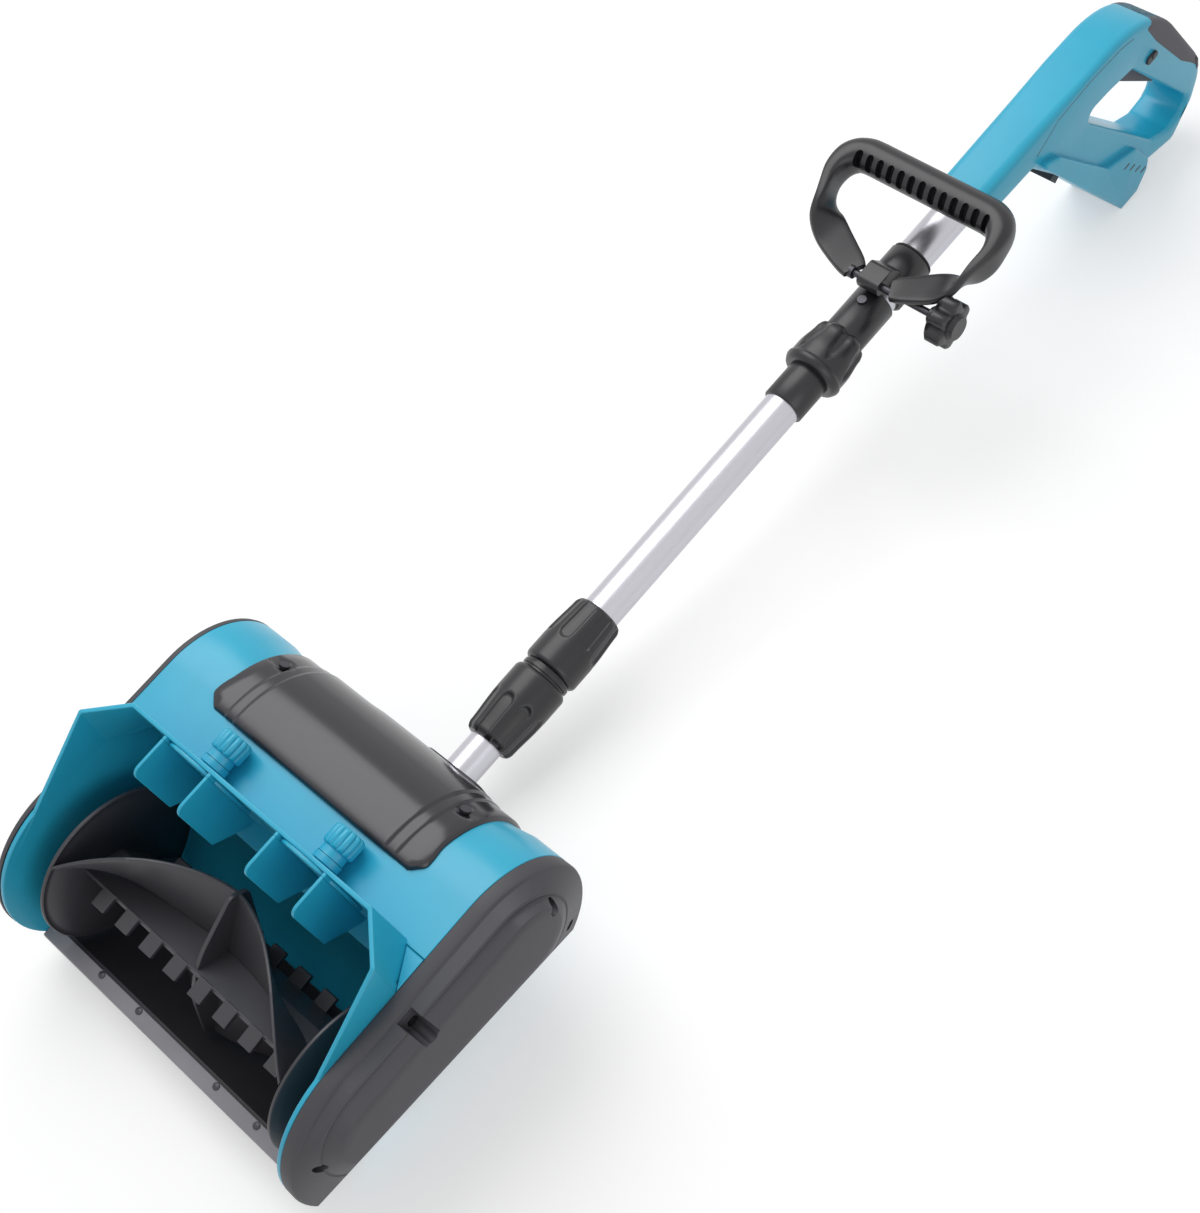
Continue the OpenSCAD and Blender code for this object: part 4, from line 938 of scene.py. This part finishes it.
def handle_path():
    """Stations over the handle: centre, half width and thickness, squareness, stance."""
    half = [(17.8, -25, 685, 9.5, 3.2, 5, 1), (24, -26, 688, 11.5, 3.2, 6, 1),
            (36, -29, 693, 13, 3.2, 6, 1), (50, -33, 699.5, 14, 3.3, 6, 1),
            (61, -37, 707, 14, 3.5, 6, 0.8), (68, -40.5, 715, 14, 3.8, 5, 0.5),
            (72.5, -44, 724, 14, 4.4, 5, 0.2), (75, -47.5, 734, 14, 5.6, 4, 0),
            (74.5, -51, 743.5, 13.8, 8, 3, 0), (71.5, -53.2, 752, 13.8, 10.8, 2.5, 0),
            (66, bar_y, bar_z - 3.7, bar_r, bar_r - 1.2, 2.1, 0),
            (59, bar_y, bar_z - 0.7, bar_r, bar_r - 0.2, 2, 0)]
    half += [(x, bar_y, bar_z, bar_r, bar_r, 2, 0) for x in (52, 40, 20)]
    left = [(-station[0],) + station[1:] for station in half]
    stops = left + [(0, bar_y, bar_z, bar_r, bar_r, 2, 0)] + half[::-1]
    eased = []
    for i in range(len(stops) - 1):
        a, b, c, d = (stops[min(max(k, 0), len(stops) - 1)] for k in (i - 1, i, i + 1, i + 2))
        for share in (0, 0.25, 0.5, 0.75):
            eased.append([q + 0.5 * share * (r - p + share * (2 * p - 5 * q + 4 * r - t
                                                              + share * (3 * (q - r) + t - p)))
                          for p, q, r, t in zip(a, b, c, d)])
    return eased + [list(stops[-1])]


d_handle = bmesh.new()
stations = handle_path()
rings = []
for i, (x, y, z, half_a, half_b, power, stance) in enumerate(stations):
    before, after = stations[max(0, i - 1)], stations[min(len(stations) - 1, i + 1)]
    along = (Vector(after[:3]) - Vector(before[:3])).normalized()
    wide = Vector((0, 1 - stance, stance))
    flat = wide - along * along.dot(wide)
    rings.append(section(Vector((x, y, z)), along, flat.normalized(), half_a, half_b, power))
loft(d_handle, rings)
slots = bmesh.new()
slot_turn = Matrix.Translation((0, bar_y, bar_z)) @ Matrix.Rotation(math.radians(slot_lean), 4, "X")
for i in range(slot_count):
    middle = (i - slot_count // 2) * slot_pitch
    oval = [Vector((middle + p[0], p[1], 0)) for p in oblong(-2.9, 2.9, -7.4, 7.4, 2.8)]
    loft(slots, [[slot_turn @ (p + Vector((0, 0, z))) for p in oval]
                 for z in (-bar_r - 3, -bar_r + 7)])
d_handle = carve(d_handle, slots)
bore = bmesh.new()
rod_x(bore, (bolt_y, bolt_z), 3.1, -60, 60)
d_handle = carve(d_handle, bore)
piece("d_handle_grip", d_handle, charcoal_nylon, "front_handle", ["d_handle"], sharp=40)
dress(["clamp_bolt"], black_steel)


# ---- Clamp knob ---------------------------------------------------------------
# Six-lobed knob moulded round a threaded insert, in the same charcoal nylon.
knob_x = 64
lobed = bmesh.new()
stand = Matrix.Translation((0, bolt_y, bolt_z)) @ Matrix.Rotation(math.radians(90), 4, "Y")
turned(lobed, [(knob_x - 8, 3.2), (knob_x - 8, 6.4), (knob_x - 7.4, 7), (knob_x + 1, 7)], stand, 48)
turned(lobed, [(knob_x, 6), (knob_x, 19), (knob_x + 1.2, 20.4), (knob_x + 12, 20.4),
               (knob_x + 13.6, 19.2), (knob_x + 14.2, 15), (knob_x + 14.2, 11),
               (knob_x + 18.3, 9.5), (knob_x + 18.3, 4)], stand, 144,
       lambda angle, height: 5.2 * (0.5 - 0.5 * math.cos(6 * angle)) ** 1.3
       if knob_x - 0.5 < height < knob_x + 14 and height != knob_x else 0)
piece("clamp_knob_lobed", lobed, charcoal_nylon, "clamp_knob_body", ["clamp_knob"], sharp=40)


# ---- Rear handle --------------------------------------------------------------
# Two teal ABS halves that meet down the middle: a column over the tube's end, a closed
# grip above it and a foot that takes the battery. Five screws hold them.
rear_half, foot_half = 21, 27
# Outline corners: Y, Z, corner radius, rounding of the rim
handle_corners = [(-18, 794, 0, 9), (-18, 886, 0, 7), (-18, 930, 0, 5), (-18, 1021, 100, 6),
                  (122, 1095, 40, 9), (156, 1078, 18, 9), (178, 1046, 12, 6),
                  (163, 1002, 5, 3), (179, 985, 5, 2), (178, 962, 0, 2), (52, 885, 10, 2),
                  (17, 858, 8, 7), (17, 794, 0, 10)]
loop_corners = [(24, 922, 8, 3), (26, 958, 8, 3), (31, 991, 5, 3), (152, 1075, 12, 5), (157, 1040, 10, 4),
                (146, 1017, 10, 4)]


def drawn_in(outline, share):
    """Each outline point moved inward by a share of its own rim rounding."""
    area = sum(p[0] * q[1] - q[0] * p[1] for p, q in zip(outline, outline[1:] + outline[:1]))
    sign = 1 if area > 0 else -1
    moved = []
    for i, p in enumerate(outline):
        a, b, c = (Vector(outline[k % len(outline)][:2]) for k in (i - 1, i, i + 1))
        n1 = Vector((-(b - a).y, (b - a).x)).normalized()
        n2 = Vector((-(c - b).y, (c - b).x)).normalized()
        both = (n1 + n2).normalized()
        moved.append(b + both * sign * share * p[2] / max(0.35, both.dot(n1)))
    return moved


def pillow(form, corners, x0, x1, hole=None, steps=4):
    """A side view made solid from x0 to x1, each rim rounded by the corner's own radius."""
    edges = {0: [], 1: []}
    for outline, inward in ((rounded(corners), 1), (rounded(hole) if hole else None, -1)):
        if outline is None:
            continue
        rows = []
        for end, x in ((0, x0), (1, x1)):
            order = range(steps + 1) if end == 0 else range(steps, -1, -1)
            for k in order:
                angle = math.pi / 2 * k / steps
                flat = drawn_in(outline, inward * (1 - math.sin(angle)))
                lift = 1 - math.cos(angle)
                rows.append([form.verts.new((x + (1 - 2 * end) * p[2] * lift, q.x, q.y))
                             for p, q in zip(outline, flat)])
        for a, b in zip(rows, rows[1:]):
            for i in range(len(a)):
                k = (i + 1) % len(a)
                form.faces.new((a[i], a[k], b[k], b[i]))
        for end, rim in ((0, rows[0]), (1, rows[-1])):
            edges[end] += [form.edges.get((rim[i], rim[(i + 1) % len(rim)])) for i in range(len(rim))]
    for end in (0, 1):
        bmesh.ops.triangle_fill(form, use_beauty=True, use_dissolve=False, edges=edges[end])


handle = bmesh.new()
pillow(handle, handle_corners, -rear_half, rear_half, loop_corners)
for side in (-1, 1):
    foot = [(12, 860, 3, 2), (26, 885, 4, 2), (106, 946, 6, 2), (122, 986, 6, 2), (152, 1003, 5, 2),
            (164, 1000, 3, 2), (178, 985, 3, 2), (178, 962, 0, 2), (52, 885, 10, 2)]
    pillow(handle, foot, side * foot_half if side < 0 else 15, side * foot_half if side > 0 else -15)
piece("rear_handle_shells", handle, teal_abs, "pole",
      ["right_handle_shell", "left_handle_shell"], sharp=28)
dress(["handle_screws"], black_steel)

# Painted shade: dark strips stand in for the shade inside the four gauge slots on the foot,
# and for the shadow line along the crease that frames the side of the column. Both are thin black inlays
# that stand a hair proud of the teal.
painted_inlay_depth, slot_shade_proud, crease_shade_proud = 0.5, 0.08, 0.06
painted_shade_marks = bmesh.new()
# Painted shade for the gauge slots: black strips instead of recesses
for i in range(4):
    y, z = 129 + 9.7 * i, 971 + 7.7 * i
    slab(painted_shade_marks, oblong(y - 1.1, y + 1.1, z - 4, z + 4, 1), foot_half - painted_inlay_depth,
         foot_half + slot_shade_proud)
# Painted shadow line along the crease at each side of the column
crease_shade_line = [(4, 862), (-9, 892), (-11, 936), (-8.5, 975), (-4, 992)]
for (y0, z0), (y1, z1) in zip(crease_shade_line, crease_shade_line[1:]):
    for side in (-1, 1):
        slab(painted_shade_marks, [(y0, z0), (y0 + 0.8, z0 + 0.1), (y1 + 0.8, z1 + 0.1), (y1, z1)],
             side * (rear_half - painted_inlay_depth), side * (rear_half + crease_shade_proud))
piece("handle_painted_slot_and_crease_shade", painted_shade_marks, black_abs, "pole")


# ---- Grip skin ----------------------------------------------------------------
# Grey thermoplastic rubber moulded over the crown of the grip, a little proud of it.
# Thermoplastic rubber: flat grey, very dull, with a fine leather-like grain
soft_grip = plastic("grey thermoplastic rubber", "5e5d63", 0.72, 1.4, 0.08)
skin_proud = 0.3
skin = bmesh.new()
crown = [(p[0], p[1], 0, p[2] - skin_proud) for p in rounded(handle_corners)
         if p[1] > 1010 and -3 < p[0] < 124]
pillow(skin, crown + [(112, 1079, 4, 1), (103, 1072, 4, 1), (87, 1058, 4, 1), (28, 1022, 4, 1),
                      (3, 1010, 2, 1)], -rear_half - skin_proud, rear_half + skin_proud)
piece("grip_skin", skin, soft_grip, "pole", ["grip_overmould"], sharp=40)


# ---- Trigger and lock-off button ----------------------------------------------
# Grey nylon trigger on a steel axle, and a push button through the grip that has to
# be held in before the trigger moves.
trigger = bmesh.new()
pillow(trigger, [(46, 998, 2, 2), (54, 991, 4, 2), (99, 1036, 3, 2), (99, 1043, 2, 1), (62, 1034, 2, 1),
                 (46, 1016, 2, 1)], -7, 7)
piece("trigger_lever", trigger, soft_grip, "trigger_body", ["trigger"], sharp=40)
button = bmesh.new()
for x0, x1, y, z, half_y, half_z, corner_r in (
        (12, 23, 40, 1015, 4, 7, 3.6), (22.5, 24, 38.8, 1017.5, 3, 3.6, 2.6)):
    slab(button, oblong(y - half_y, y + half_y, z - half_z, z + half_z, corner_r), x0, x1)
piece("lock_off_cap", button, black_abs, "lock_off_body", ["lock_off_button"], edge=0.4)
dress(["trigger_axle"], black_steel)
dress(["trigger_switch"], black_abs)


# ---- Electronics and battery contacts -----------------------------------------
# A green glass-epoxy board inside the column, and a black contact block in the slideway.
board_green = plastic("green solder mask on glass epoxy", "1d5a38", 0.35, 2.0, 0.02)
dress(["control_board"], board_green)
dress(["battery_terminals"], black_abs)
